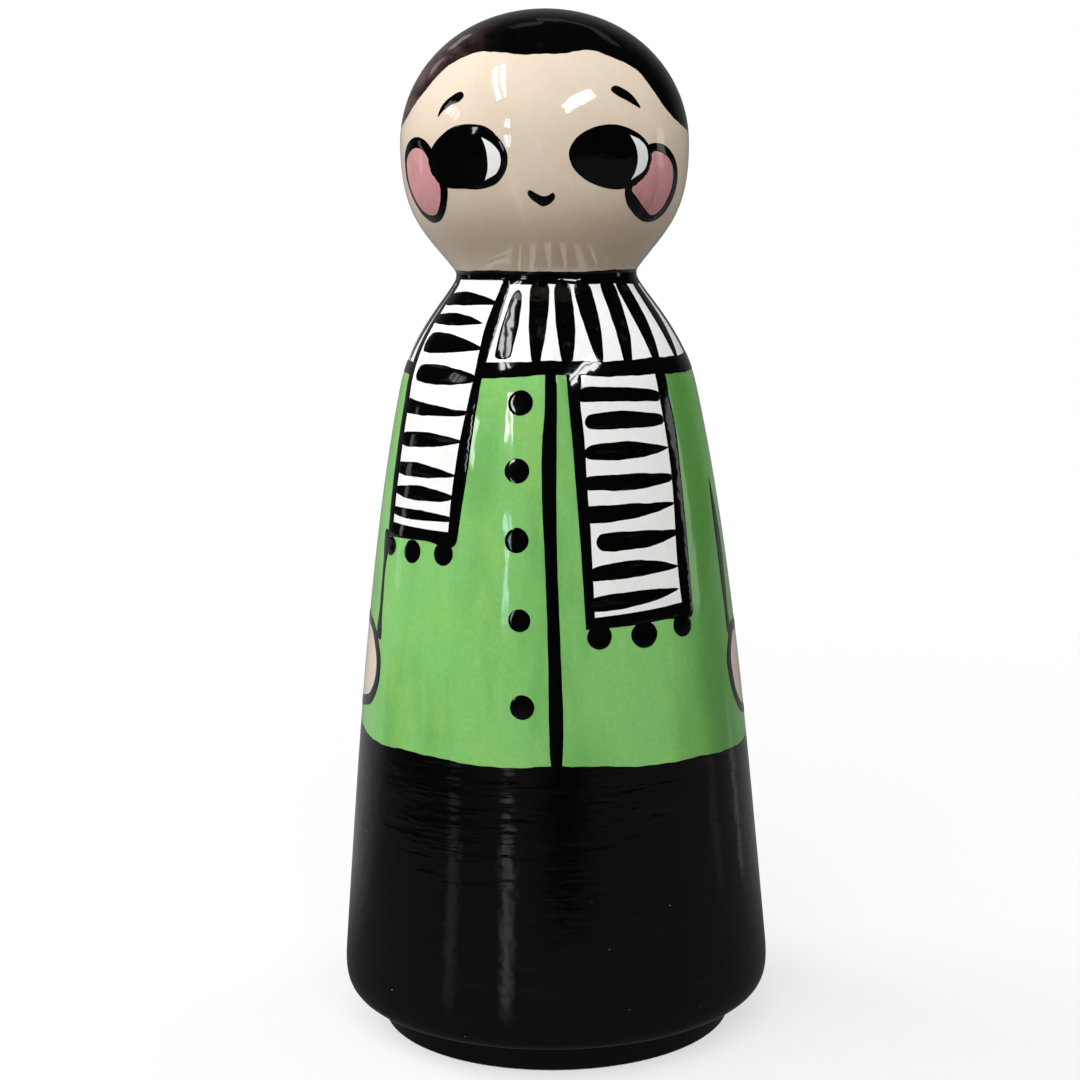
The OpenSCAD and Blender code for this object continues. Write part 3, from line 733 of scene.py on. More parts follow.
class Painter:
    """Lays flat paint and wraps it round the doll."""

    COLUMNS = 240
    LEAST_COLUMNS = 4
    LEAST_ROWS = 2
    RIM_INSET = 0.35 * MM
    RIM_SHARE = 0.3
    WOBBLE_SIZE = 5.0 * MM
    STROKE_WOBBLE_SIZE = 6.0 * MM
    SEED_STEP = 0.37

    def __init__(self, form: Silhouette) -> None:
        """Make the curve and the node groups that all paint shares."""
        self.form = form
        self.curve = form.curve()
        self.wrap_tree = WrapTree().build()
        self.stroke_tree = StrokeTree().build(self.wrap_tree)

    def clear(self) -> None:
        """Remove the curve that only the wrapping needed."""
        bpy.data.objects.remove(self.curve)

    def flat(self, spots: Sequence[Spot], girth: float) -> np.ndarray:
        """Return azimuths and heights as flat metres, at the girth radius given."""
        turn, height = np.array(spots, float).T
        return np.column_stack([np.radians(turn) * girth, self.form.along(height)])

    def loop(self, runs: Sequence[Sequence[Spot]], girth: float) -> np.ndarray:
        """Draw a closed loop.

        Args:
            runs: One closed run of spots, or open runs that meet end to end in corners.
            girth: Radius that azimuths are laid flat at, in metres.

        Returns:
            Evenly spaced flat points.
        """
        if len(runs) == 1:
            return smooth(self.flat(runs[0], girth), True, DRAWN_STEP)
        pieces = []
        for index, run in enumerate(runs):
            ends = list(run) + [runs[(index + 1) % len(runs)][0]]
            pieces.append(smooth(self.flat(ends, girth), False, DRAWN_STEP)[:-1])
        return np.concatenate(pieces)

    def band(
        self,
        low: Callable[[np.ndarray], np.ndarray],
        high: Callable[[np.ndarray], np.ndarray],
        girth: float,
        layer: Layer,
        span: Pair = (-180.0, 180.0),
        row: float = 1.6 * MM,
        pole: bool = False,
    ) -> Sheet:
        """Lay a band round the doll between two edges.

        Args:
            low: Metres along the outline at the lower edge, by azimuth.
            high: Metres along the outline at the upper edge, by azimuth.
            girth: Radius that azimuths are laid flat at, in metres.
            layer: The layer of paint.
            span: First and last azimuth; a full turn is closed into a ring.
            row: Height of a row of faces.
            pole: Whether the upper edge is the crown's single point.

        Returns:
            The sheet of paint.
        """
        whole = span[1] - span[0] >= FULL_TURN
        columns = max(self.LEAST_COLUMNS, round(self.COLUMNS * (span[1] - span[0]) / FULL_TURN))
        azimuth = np.linspace(*span, columns + 1)
        bottom, top = low(azimuth), high(azimuth)
        tallest = float(np.max(top - bottom))
        rows = max(self.LEAST_ROWS, round(tallest / row))
        share = np.linspace(0, 1, rows + 1)
        if layer.value.lean > 0:
            inset = min(self.RIM_INSET / tallest, self.RIM_SHARE)
            share = np.concatenate([[0], np.linspace(inset, 1 - inset, rows + 1), [1]])
        along = bottom[None] + share[:, None] * (top - bottom)[None]
        across = np.broadcast_to(np.radians(azimuth) * girth, along.shape)
        flat = np.column_stack([across.ravel(), along.ravel()])
        wide = columns + 1
        faces = [
            (i * wide + j, i * wide + j + 1, (i + 1) * wide + j + 1, (i + 1) * wide + j)
            for i in range(len(share) - 1) for j in range(columns)
        ]
        spots = np.arange(len(flat))
        bare = [whole & (spots % wide == column) for column in (0, columns)]
        bare.append(pole & (spots // wide == len(share) - 1))
        return lay(flat, faces, layer, bare)

    def wrap(
        self, sheet: Sheet, name: str, paint: bpy.types.Material, girth: float, wobble: float = 0.0
    ) -> bpy.types.Object:
        """Wrap a sheet and turn it into a plain mesh.

        Args:
            sheet: The flat sheet.
            name: The piece's name.
            paint: Its material.
            girth: Radius that its azimuths were laid flat at, in metres.
            wobble: Reach of the hand's wobble, in millimetres.

        Returns:
            The finished piece.
        """
        piece = sheet.thing(name)
        values = {
            "Girth Radius": girth, "Hand Wobble": wobble * MM, "Wobble Size": self.WOBBLE_SIZE,
            "Paint": paint,
        }
        return self._run(piece, self.wrap_tree, values)

    def strokes(
        self,
        mark: Sheet,
        strokes: Sequence[Stroke],
        name: str,
        paint: bpy.types.Material,
        girth: float,
        wobble: float,
    ) -> bpy.types.Object:
        """Draw a brush mark many times and wrap the strokes into one piece.

        Args:
            mark: The brush mark, one unit long and one wide.
            strokes: The strokes.
            name: The piece's name.
            paint: Its material.
            girth: Radius that azimuths are laid flat at, in metres.
            wobble: Reach of the hand's wobble, in millimetres.

        Returns:
            The finished piece.
        """
        stamp = mark.thing(name + "_mark")
        starts = self.flat([one.start for one in strokes], girth)
        reach = self.flat([one.end for one in strokes], girth) - starts
        starts, reach = (np.column_stack([rows, np.zeros(len(rows))]) for rows in (starts, reach))
        widths = np.array([one.widths for one in strokes]) * MM
        widths[:, 1] = 2 * widths[:, 1] - (widths[:, 0] + widths[:, 2]) / 2
        mesh = bpy.data.meshes.new(name)
        mesh.from_pydata(starts.tolist(), [], [])
        for key, rows in (("start", starts), ("reach", reach), ("widths", widths)):
            kept = mesh.attributes.new(key, "FLOAT_VECTOR", "POINT")
            kept.data.foreach_set("vector", rows.astype(np.float32).ravel())
        bow = mesh.attributes.new("bow", "FLOAT", "POINT")
        bow.data.foreach_set("value", np.array([one.bow * MM for one in strokes], np.float32))
        piece = bpy.data.objects.new(name, mesh)
        bpy.context.scene.collection.objects.link(piece)
        values = {
            "Mark": stamp, "Girth Radius": girth, "Hand Wobble": wobble * MM,
            "Wobble Size": self.STROKE_WOBBLE_SIZE, "Paint": paint,
        }
        made = self._run(piece, self.stroke_tree, values)
        bpy.data.objects.remove(stamp)
        return made

    def _run(
        self, piece: bpy.types.Object, tree: bpy.types.GeometryNodeTree, values: dict[str, object]
    ) -> bpy.types.Object:
        """Run a node group on an object and keep the result as its plain mesh."""
        values = {"Silhouette": self.curve, "Seed": self.SEED_STEP * len(piece.name), **values}
        modifier = piece.modifiers.new("paint", "NODES")
        modifier.node_group = tree
        for item in tree.interface.items_tree:
            if item.in_out == "INPUT" and item.name in values:
                modifier[item.identifier] = values[item.name]
        depsgraph = bpy.context.evaluated_depsgraph_get()
        mesh = bpy.data.meshes.new_from_object(
            piece.evaluated_get(depsgraph), preserve_all_data_layers=True, depsgraph=depsgraph
        )
        piece.modifiers.clear()
        flat = piece.data
        piece.data = mesh
        bpy.data.meshes.remove(flat)
        for extra in ("lean", "outward", "unit", "start", "reach", "widths", "bow"):
            if extra in mesh.attributes:
                mesh.attributes.remove(mesh.attributes[extra])
        mesh.name = piece.name
        return piece


def settle(piece: bpy.types.Object, slot: str, *nodes: str) -> None:
    """Let a finished piece stand for its construction nodes and report it."""
    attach(piece, BODY)
    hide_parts(*nodes)
    LOG.info("%s: %d faces for %s", piece.name, len(piece.data.polygons), ", ".join(nodes))


# Finishes

def shade(red: float, green: float, blue: float) -> Colour:
    """Return a colour of 0 to 255, as it looks, as the linear values that shaders take, by the sRGB curve."""
    shares = (red / 255, green / 255, blue / 255)
    return tuple(c / 12.92 if c <= 0.04045 else ((c + 0.055) / 1.055) ** 2.4 for c in shares)


class Weave(Enum):
    """Ways that a brush leaves its streaks, as scales along x, y and z; a small one draws a pattern out."""

    EVEN = (1.0, 1.0, 1.0)
    UPRIGHT = (1.0, 1.0, 0.22)
    TALL = (1.0, 1.0, 0.45)
    LEVEL = (0.25, 0.25, 1.6)
    SWEPT = (0.8, 0.35, 1.2)


@dataclass(frozen=True)
class Pattern:
    """A noise pattern that the brush or the firing left.

    The size of one patch is in millimetres, and the detail is the number of finer octaves. The shift, in
    metres, sets one pattern apart from another. The window holds the noise values that a mask starts and
    ends at.
    """

    ROUGHNESS = 0.55

    size: float
    detail: float
    shift: float = 0.0
    window: Pair = (0.0, 1.0)

    def noise(self, graph: Graph, place: Term, weave: Weave = Weave.EVEN) -> Term:
        """Return noise from 0 to 1.

        Args:
            graph: The material's graph.
            place: Object coordinates.
            weave: How the patches are drawn out.

        Returns:
            The noise value.
        """
        moved = {"Vector": place, "Location": (self.shift,) * 3, "Scale": weave.value}
        drawn = graph.node("ShaderNodeMapping", None, moved)
        scale = 1 / (self.size * MM)
        sockets = {"Vector": drawn, "Scale": scale, "Detail": self.detail, "Roughness": self.ROUGHNESS}
        return graph.node("ShaderNodeTexNoise", None, sockets)

    def mask(self, graph: Graph, place: Term, weave: Weave = Weave.EVEN) -> Term:
        """Return the noise as a mask from 0 to 1 over its window."""
        return graph.ease(self.noise(graph, place, weave), *self.window)


@dataclass(frozen=True)
class Glaze:
    """A painted colour under clear gloss glaze, with the pattern that the brush left in it.

    Sizes are in millimetres. Wobble, ripple and peel are the heights of the slow swells, of the waves and of
    the fine skin. A speck reach of zero leaves the specks out.
    """

    CLOUD_DETAIL = 4.0
    STREAK_SHARE = 0.4
    STREAKS = Pattern(1.0, 3.0, 0.7, (0.55, 0.78))
    GRAINS = Pattern(0.9, 2.0, 6.1)
    DULL_PLACES = Pattern(9.0, 3.0, 1.3, (0.5, 0.75))
    SLOW_SWELLS = Pattern(24.0, 1.0, 2.1)
    WAVES = Pattern(3.5, 1.0, 5.2)
    FINE_SKIN = Pattern(1.6, 1.0, 3.3)
    SPECK_CORE_SHARE = 0.5

    name: str
    slot: str
    colour: Colour
    deep: Colour
    thin: Colour
    weave: Weave = Weave.EVEN
    relief: Weave = Weave.EVEN
    cloud: float = 14.0
    deep_share: float = 0.5
    deep_from: Pair = (0.5, 0.72)
    thin_share: float = 0.5
    gloss: float = 0.06
    dull: float = 0.05
    ior: float = 1.6
    grain: float = 0.05
    wobble: float = 0.05
    ripple: float = 0.07
    peel: float = 0.004
    speck: Colour = (0.3, 0.22, 0.16)
    speck_reach: float = 0.0
    speck_spacing: float = 6.0

    def material(self) -> bpy.types.Material:
        """Return the finished material."""
        made = bpy.data.materials.new(self.name)
        made.use_nodes = True
        graph = Graph(made.node_tree)
        place = graph.node("ShaderNodeTexCoord", out="Object")
        colour = self.specked(graph, place, self.grained(graph, place, self.tint(graph, place)))
        rough = self.gloss + self.dull * self.DULL_PLACES.mask(graph, place, self.weave)
        height = self.swell(graph, place)
        normal = graph.node("ShaderNodeBump", None, {"Strength": 1.0, "Distance": 1.0, "Height": height})
        sockets = {"Base Color": colour, "Roughness": rough, "Normal": normal, "IOR": self.ior}
        surface = graph.node("ShaderNodeBsdfPrincipled", None, sockets)
        graph.node("ShaderNodeOutputMaterial", None, {"Surface": surface})
        return made

    def tint(self, graph: Graph, place: Term) -> Term:
        """Return the colour with its deeper and thinner places."""
        clouds = Pattern(self.cloud, self.CLOUD_DETAIL, window=self.deep_from)
        streaks = replace(self.STREAKS, size=self.cloud * self.STREAK_SHARE)
        deep = clouds.mask(graph, place, self.weave) * self.deep_share
        thin = streaks.mask(graph, place, self.weave) * self.thin_share
        return graph.blend(thin, graph.blend(deep, self.colour, self.deep), self.thin)

    def grained(self, graph: Graph, place: Term, colour: Term) -> Term:
        """Return the colour with the fine grain of its pigment."""
        grains = self.GRAINS.noise(graph, place)
        return graph.vector("SCALE", colour, scale=1.0 + 2 * self.grain * (grains - 0.5))

    def specked(self, graph: Graph, place: Term, colour: Term) -> Term:
        """Return the colour with the few specks that the firing left, or as it is where there are none."""
        if not self.speck_reach:
            return colour
        scale = 1 / (self.speck_spacing * MM)
        cells = graph.node("ShaderNodeTexVoronoi", None, {"Vector": place, "Scale": scale})
        near = self.speck_reach / self.speck_spacing
        clear = graph.ease(cells, near * self.SPECK_CORE_SHARE, near)
        return graph.blend(1.0 - clear, colour, self.speck)

    def swell(self, graph: Graph, place: Term) -> Term:
        """Return the glaze's height in metres: slow swells of the hand-finished clay and a fine skin."""
        slow = self.SLOW_SWELLS.noise(graph, place)
        waves = self.WAVES.noise(graph, place, self.relief)
        fine = self.FINE_SKIN.noise(graph, place)
        return slow * (self.wobble * MM) + waves * (self.ripple * MM) + fine * (self.peel * MM)


@dataclass(frozen=True)
class HairGlaze(Glaze):
    """Black hair that is brownish on the left: partly thin paint, partly a painted reflection.

    Start and end are millimetres to the left of the axis, and behind is how far back the brown ends.
    """

    BROWN_STREAKS = Pattern(5.0, 4.0, 4.2, (0.4, 0.64))

    # The brown is partly thin paint and partly a painted reflection on the lit left side.
    brown: Colour = shade(90, 67, 66)
    start: float = 8.0
    end: float = 29.0
    behind: float = 15.0
    least_share: float = 0.2

    def tint(self, graph: Graph, place: Term) -> Term:
        """Return the black with brown streaks on the left side, which end behind it; they are partly thin
        paint and partly painted reflection.
        """
        base = super().tint(graph, place)
        x, y, _ = graph.split(place)
        left = graph.ease(-x, self.start * MM, self.end * MM) * (1.0 - graph.ease(y, 0.0, self.behind * MM))
        streaks = self.BROWN_STREAKS.mask(graph, place, Weave.SWEPT)
        share = self.least_share + (1.0 - self.least_share) * streaks
        return graph.blend(left * share, base, self.brown)


@dataclass(frozen=True)
class JacketGlaze(Glaze):
    """Green jacket with yellowish clouds, and one upright darker band on its right side, partly thicker paint
    and partly painted shade.

    The band's middle, its half width and the raggedness of its edge are in degrees.
    """

    YELLOW_CLOUDS = Pattern(17.0, 4.0, 6.4, (0.5, 0.7))
    RAGGED_EDGE = Pattern(9.0, 3.0, 7.1)

    yellow: Colour = shade(150, 205, 104)
    yellow_share: float = 0.5
    # The darker band on the right is partly thicker paint and partly painted shade.
    thick_and_shaded: Colour = shade(78, 136, 62)
    thick_and_shaded_turn: float = 58.0
    thick_and_shaded_half: float = 26.0
    thick_and_shaded_ragged: float = 9.0
    thick_and_shaded_share: float = 0.8

    def tint(self, graph: Graph, place: Term) -> Term:
        """Return the green with its clouds and its darker band, which is partly painted shade."""
        clouds = self.YELLOW_CLOUDS.mask(graph, place) * self.yellow_share
        green = graph.blend(clouds, super().tint(graph, place), self.yellow)
        x, y, _ = graph.split(place)
        # Painted shade, with some thicker paint: a darker upright band on the right side.
        turn = x.math("ARCTAN2", x, -y)
        ragged = self.RAGGED_EDGE.noise(graph, place, Weave.UPRIGHT) - 0.5
        away = turn + ragged * math.radians(self.thick_and_shaded_ragged) - math.radians(self.thick_and_shaded_turn)
        band = 1.0 - graph.ease(away.math("ABSOLUTE", away), 0.0, math.radians(self.thick_and_shaded_half))
        return graph.blend(band * self.thick_and_shaded_share, green, self.thick_and_shaded)


@dataclass(frozen=True)
class TrouserGlaze(Glaze):
    """Black trousers with level brush ridges under the glaze, which stand out most near the hem.

    The ridges' height and the heights that they grow between are in millimetres.
    """

    RIDGES = Pattern(3.0, 3.0, 8.3)
    BLOTS = Pattern(15.0, 3.0, 9.1, (0.38, 0.52))

    brush: float = 0.15
    brush_z: Pair = (30.0, 62.0)
    least_share: float = 0.12

    def swell(self, graph: Graph, place: Term) -> Term:
        """Return the glaze's height with the ridges of the brush."""
        ridges = self.RIDGES.noise(graph, place, Weave.LEVEL)
        high = graph.ease(graph.split(place)[2], *(height * MM for height in self.brush_z))
        blots = self.BLOTS.mask(graph, place, Weave.LEVEL)
        share = self.least_share + (1.0 - self.least_share) * high * blots
        return super().swell(graph, place) + ridges * share * (self.brush * MM)


@dataclass(frozen=True)
class ClayFinish:
    """Bare fired clay: a dry, pale body with fine grog.

    Clouds and grog have a size in millimetres and a number of finer octaves.
    """

    name: str = "fired clay"
    colour: Colour = shade(228, 221, 208)
    deep: Colour = shade(212, 202, 186)
    deep_from: Pair = (0.4, 0.7)
    deep_share: float = 0.4
    speck: Colour = shade(176, 160, 140)
    speck_from: Pair = (0.62, 0.72)
    speck_share: float = 0.6
    cloud: Pair = (9.0, 4.0)
    grog: Pair = (0.8, 2.0)
    grain: float = 0.02
    rough: float = 0.7
    rough_range: float = 0.2

    def material(self) -> bpy.types.Material:
        """Return the finished material."""
        made = bpy.data.materials.new(self.name)
        made.use_nodes = True
        graph = Graph(made.node_tree)
        place = graph.node("ShaderNodeTexCoord", out="Object")
        clouds, grog = (
            graph.node(
                "ShaderNodeTexNoise", None, {"Vector": place, "Scale": 1 / (size * MM), "Detail": detail}
            )
            for size, detail in (self.cloud, self.grog)
        )
        specks = graph.ease(grog, *self.speck_from) * self.speck_share
        deep = graph.ease(clouds, *self.deep_from) * self.deep_share
        colour = graph.blend(specks, graph.blend(deep, self.colour, self.deep), self.speck)
        normal = graph.node("ShaderNodeBump", None, {"Distance": 1.0, "Height": grog * (self.grain * MM)})
        rough = self.rough + self.rough_range * clouds
        sockets = {"Base Color": colour, "Roughness": rough, "Normal": normal}
        surface = graph.node("ShaderNodeBsdfPrincipled", None, sockets)
        graph.node("ShaderNodeOutputMaterial", None, {"Surface": surface})
        return made


class Palette:
    """The finishes of the doll, each made once."""

    def __init__(self) -> None:
        """Set out the colours as they look under plain light."""
        black = dict(colour=shade(3, 3, 3), deep=shade(1, 1, 1), thin=shade(17, 14, 14))
        streaky = {**black, "thin": shade(42, 36, 36), "thin_share": 0.8, "ior": 1.5}
        self.finishes = {
            "skin": Glaze(
                "cream skin glaze", "skin_cream",
                shade(234, 217, 197), shade(227, 208, 186), shade(240, 226, 208),
                cloud=22.0, deep_share=0.6, thin_share=0.4, ior=1.8, ripple=0.05,
                speck=shade(120, 90, 70), speck_reach=0.28, speck_spacing=9.0,
            ),
            "white": Glaze(
                "white scarf glaze", "scarf_white",
                shade(248, 249, 248), shade(239, 240, 239), shade(251, 251, 250),
                cloud=10.0, deep_share=0.5,
            ),
            "green": JacketGlaze(
                "green jacket glaze", "jacket_green",
                shade(134, 201, 114), shade(111, 176, 93), shade(147, 209, 122),
                weave=Weave.UPRIGHT, relief=Weave.TALL, cloud=13.0, deep_share=0.8, deep_from=(0.42, 0.66),
                thin_share=0.7, grain=0.12, speck=shade(70, 110, 50), speck_reach=0.2, speck_spacing=8.0,
            ),
            "pink": Glaze(
                "pink cheek glaze", "cheek_pink",
                shade(216, 156, 160), shade(190, 126, 133), shade(230, 180, 183),
                weave=Weave.UPRIGHT, cloud=5.0, deep_share=0.9, thin_share=0.8,
            ),
            "line": Glaze("black line glaze", "line_black", **black, cloud=6.0),
            "upright": Glaze(
                "black upright stroke glaze", "line_black", **streaky, weave=Weave.UPRIGHT, cloud=4.0,
            ),
            "level": Glaze("black level stroke glaze", "line_black", **streaky, weave=Weave.LEVEL, cloud=6.0),
            "hair": HairGlaze("black hair glaze", "hair_black", **black, weave=Weave.UPRIGHT, cloud=8.0),
            "trousers": TrouserGlaze(
                "black trouser glaze", "trousers_black", **black, weave=Weave.LEVEL, cloud=10.0,
                gloss=0.07, dull=0.08, speck=shade(170, 170, 168), speck_reach=0.17, speck_spacing=7.0,
            ),
        }
        self.made = {key: finish.material() for key, finish in self.finishes.items()}

    def paint(self, key: str) -> bpy.types.Material:
        """Return a finish's material."""
        return self.made[key]

    def slot(self, key: str) -> str:
        """Return the slot name of a finish."""
        return self.finishes[key].slot


# The doll's parts

@dataclass
class Edges:
    """The painted edges where one base coat ends and the next begins."""

    form: Silhouette
    hairline: Contour = Contour((
        (-180, 197), (-150, 198), (-125, 203), (-108, 211), (-95, 218.5), (-86, 221.5), (-78, 222.5),
        (-70, 224.8), (-60, 229.5), (-50, 235), (-44, 236.7), (-33, 238.2), (-25, 238.2), (-10, 237.3),
        (10, 237.3), (25, 238.2), (32, 236.8), (40, 235.2), (46, 233), (50, 229.5), (55, 225.8),
        (60, 223.5), (70, 221.5), (80, 220), (90, 218), (105, 211), (125, 203), (150, 198),
    ), 0.1)
    band_top: Contour = Contour((
        (-150, 188.1), (-60, 188.2), (-30, 188.3), (10, 187.8), (50, 188), (110, 187.9),
    ), 0.06)
    band_foot: Contour = Contour((
        (-150, 185), (-60, 185.1), (-10, 185), (40, 184.7), (75, 184.4), (130, 184.8),
    ), 0.06)
    hem: Contour = Contour((
        (-180, 75), (-130, 76.3), (-80, 77.2), (-65, 75.8), (-45, 76.1), (-30, 75.6), (-15, 75.2), (0, 75.5),
        (15, 75), (30, 74.1), (45, 73.7), (60, 73), (80, 72.5), (130, 73.3),
    ), 0.12)
    collar_z: float = 165.8

    def at(self, contour: Contour) -> Callable[[np.ndarray], np.ndarray]:
        """Return the metres along the outline of a contour, by azimuth."""
        return lambda azimuth: self.form.along(contour.heights(azimuth))

    def level(self, height: float) -> Callable[[np.ndarray], np.ndarray]:
        """Return the metres along the outline of a level edge, by azimuth."""
        return self.even(float(self.form.along(height)))

    @staticmethod
    def even(metres: float) -> Callable[[np.ndarray], np.ndarray]:
        """Return the same metres along the outline at every azimuth."""
        return lambda azimuth: np.full_like(azimuth, metres)


@dataclass
class DollPart:
    """A part of the doll's paint, which is laid flat at one girth: a radius in metres."""

    painter: Painter
    palette: Palette
    edges: Edges
    girth: float

    def inside(self, layer: Layer, *loops: Sequence[Sequence[Spot]]) -> Sheet:
        """Return paint inside loops, each drawn from runs of spots."""
        return fill([self.painter.loop(runs, self.girth) for runs in loops], layer)

    def dabs(self, spots: Dabs) -> list[Stroke]:
        """Return round dabs of the sizes given, at the radius that the doll has at their height."""
        radius = self.painter.form.radius
        return [Stroke.dab(*spot, float(radius(spot[1])) / MM) for spot in spots]

    def dress(self, sheet: Sheet, name: str, key: str, node: str, wobble: float = 0.0) -> None:
        """Wrap a sheet, give it its finish and let it stand for its node.

        Args:
            sheet: The flat sheet.
            name: The piece's name.
            key: The palette's word for its finish.
            node: The construction node that it stands for.
            wobble: Reach of the hand's wobble, in millimetres.
        """
        piece = self.painter.wrap(sheet, name, self.palette.paint(key), self.girth, wobble)
        settle(piece, self.palette.slot(key), node)

    def brush(
        self, mark: Sheet, strokes: Sequence[Stroke], name: str, key: str, node: str, wobble: float
    ) -> None:
        """Draw a brush mark many times, give the piece its finish and let it stand for its node.

        Args:
            mark: The brush mark, one unit long and one wide.
            strokes: The strokes.
            name: The piece's name.
            key: The palette's word for its finish.
            node: The construction node that it stands for.
            wobble: Reach of the hand's wobble, in millimetres.
        """
        piece = self.painter.strokes(mark, strokes, name, self.palette.paint(key), self.girth, wobble)
        settle(piece, self.palette.slot(key), node)


@dataclass(frozen=True)
class FaceSide:
    """What one side of the face is drawn from: closed loops, and the two runs of the white in the eye."""

    name: str
    eye: Spots
    white: tuple[Spots, ...]
    cheek: Spots
    ring: Spots
    brow: Spots


@dataclass
class Head(DollPart):
    """Hair, face and everything painted on the face."""

    RING_WOBBLE = 0.1
    EYE_WOBBLE = 0.08
    FINE_WOBBLE = 0.05

    girth: float = 33 * MM
    sides: tuple[FaceSide, ...] = (
        FaceSide(
            "left",
            eye=(
                (-29.4, 221.7), (-22.5, 221), (-17.2, 218.4), (-14, 214.5), (-14.6, 211.5), (-18, 208.6),
                (-25, 207.1), (-33, 207.2), (-42, 207.7), (-47.8, 209.4), (-51, 213.6), (-48.8, 216.4),
                (-42.5, 219.6), (-36, 221.4),
            ),
            white=(
                (
                    (-24.1, 218.7), (-20, 217.2), (-17.2, 215.2), (-16.7, 213), (-18.4, 210.7),
                ),
                (
                    (-23.5, 209), (-22.2, 211), (-21.9, 213.5), (-22.4, 216),
                ),
            ),
            cheek=(
                (-59.4, 217), (-54, 216.2), (-50, 213.6), (-46, 209.6), (-45.8, 207), (-49, 203.4),
                (-53, 201.6), (-58, 201.4), (-63.5, 202.6), (-68, 206), (-70.4, 210.5), (-69.4, 214.2),
                (-65, 216.2),
            ),
            ring=(
                (-58.1, 219.5), (-52, 218.4), (-47, 215.5), (-42.5, 211), (-41.5, 207.6), (-43.5, 204.2),
                (-48.8, 201), (-54, 199.8), (-59, 199.7), (-64, 200.9), (-69.5, 204.8), (-73, 210.8),
                (-71.8, 215.6), (-66, 218.6),
            ),
            brow=(
                (-34.4, 229), (-33.4, 228.2), (-35, 227), (-38.5, 226.4), (-42.5, 225.2), (-45.4, 223.6),
                (-44.2, 226), (-40.5, 228),
            ),
        ),
        FaceSide(
            "right",
            eye=(
                (27.5, 221.1), (35, 220), (41, 218.1), (45.2, 214.5), (44.3, 210.8), (39, 207.8),
                (31.2, 206.6), (23, 207), (15.5, 208.8), (10, 212.2), (9, 214.7), (11.6, 217.9),
                (18, 220.3),
            ),
            white=(
                (
                    (34, 218.8), (38.8, 217.7), (42, 216), (43, 214), (42, 211.5),
                ),
                (
                    (35.2, 208.7), (37.2, 211), (37.8, 213.5), (36.8, 216.2),
                ),
            ),
            cheek=(
                (46.2, 215.1), (51.2, 214.9), (56.5, 213.6), (60.4, 211), (61.4, 207.8), (59.6, 204),
                (55.6, 201.2), (52, 200.6), (46, 202), (40, 204.5), (36.2, 206.5), (40, 209.5), (43.5, 213),
            ),
            ring=(
                (44, 216.8), (50, 217), (57, 215.6), (63, 212.6), (66.2, 208), (64.6, 203.5), (60, 200.3),
                (54, 199.1), (48, 199.2), (40, 201), (34.6, 203.6), (32.8, 206.5), (36, 210.5), (40, 214.6),
            ),
            brow=(
                (29.4, 229.9), (27.6, 229), (30, 227.7), (34, 226.6), (37.5, 225.6), (40.4, 224.9),
                (38.4, 227.2), (34, 229.2),
            ),
        ),
    )
    mouth: Spots = (
        (3.9, 205.2), (2.9, 204.0), (1.0, 203.2), (-1.0, 202.9), (-3.3, 203.6), (-5.9, 204.8),
        (-7.0, 205.9), (-6.4, 206.6), (-3.7, 205.9), (-1.0, 205.2), (1.4, 205.4), (3.0, 206.0),
    )

    def build(self) -> None:
        """Lay the hair and the face, then the face's brush work."""
        edges, painter = self.edges, self.painter
        hairline, top = edges.at(edges.hairline), edges.level(edges.form.top_z)
        hair = painter.band(hairline, top, self.girth, Layer.BASE, pole=True)
        self.dress(hair, "hair", "hair", "hair_coat")
        face = painter.band(edges.at(edges.band_top), hairline, self.girth, Layer.BASE)
        self.dress(face, "face", "skin", "face_coat")
        for side in self.sides:
            self._features(side)
        mouth = self.inside(Layer.LINE, (self.mouth,))
        self.dress(mouth, "mouth_line", "line", "mouth", self.FINE_WOBBLE)

    def _features(self, side: FaceSide) -> None:
        """Paint one side's cheek, eye and eyebrow."""
        name = side.name
        self.dress(self.inside(Layer.TINT, (side.cheek,)), name + "_cheek_pink", "pink", name + "_cheek")
        line = self.inside(Layer.LINE, (side.ring,), (side.cheek,))
        self.dress(line, name + "_cheek_line", "line", name + "_cheek_ring", self.RING_WOBBLE)
        black = self.inside(Layer.LINE, (side.eye,))
        self.dress(black, name + "_eye_black", "line", name + "_eye", self.EYE_WOBBLE)
        self.dress(self.inside(Layer.GLINT, side.white), name + "_eye_glint", "white", name + "_eye_white")
        brow = self.inside(Layer.LINE, (side.brow,))
        self.dress(brow, name + "_brow_line", "line", name + "_eyebrow", self.FINE_WOBBLE)


def brush_mark(length: float, width: float, first: float, last: float) -> Sheet:
    """Draw a brush mark of unit size with rounded ends.

    Args:
        length: Usual length in millimetres, which sets the triangles' shape.
        width: Usual width in millimetres.
        first: Share of the length that the first end is rounded over.
        last: Share of the length that the last end is rounded over.

    Returns:
        A sheet from 0 to 1 long and from -0.5 to 0.5 wide.
    """
    share = (1 - np.cos(np.linspace(0, math.pi, MARK_STEPS))) / 2
    near, far = np.minimum(share / first, 1), np.minimum((1 - share) / last, 1)
    half = 0.5 * np.sqrt(1 - (1 - near) ** 2) * np.sqrt(1 - (1 - far) ** 2)
    ring = np.concatenate([np.column_stack([share, -half]), np.column_stack([share, half])[-2:0:-1]])
    ring *= [length * MM, width * MM]
    run = np.concatenate([[0], np.cumsum(np.linalg.norm(np.diff(ring, axis=0, append=ring[:1]), axis=1))])
    even = np.linspace(0, run[-1], round(run[-1] / DRAWN_STEP), endpoint=False)
    closed = np.concatenate([ring, ring[:1]])
    outline = np.column_stack([np.interp(even, run, closed[:, k]) for k in range(2)])
    return fill([outline], Layer.LINE).scaled(1 / (length * MM), 1 / (width * MM))


def dot() -> Sheet:
    """Return a round dab of paint of unit size."""
    return brush_mark(DOT_D, DOT_D, DOT_ROUND_SHARE, DOT_ROUND_SHARE)


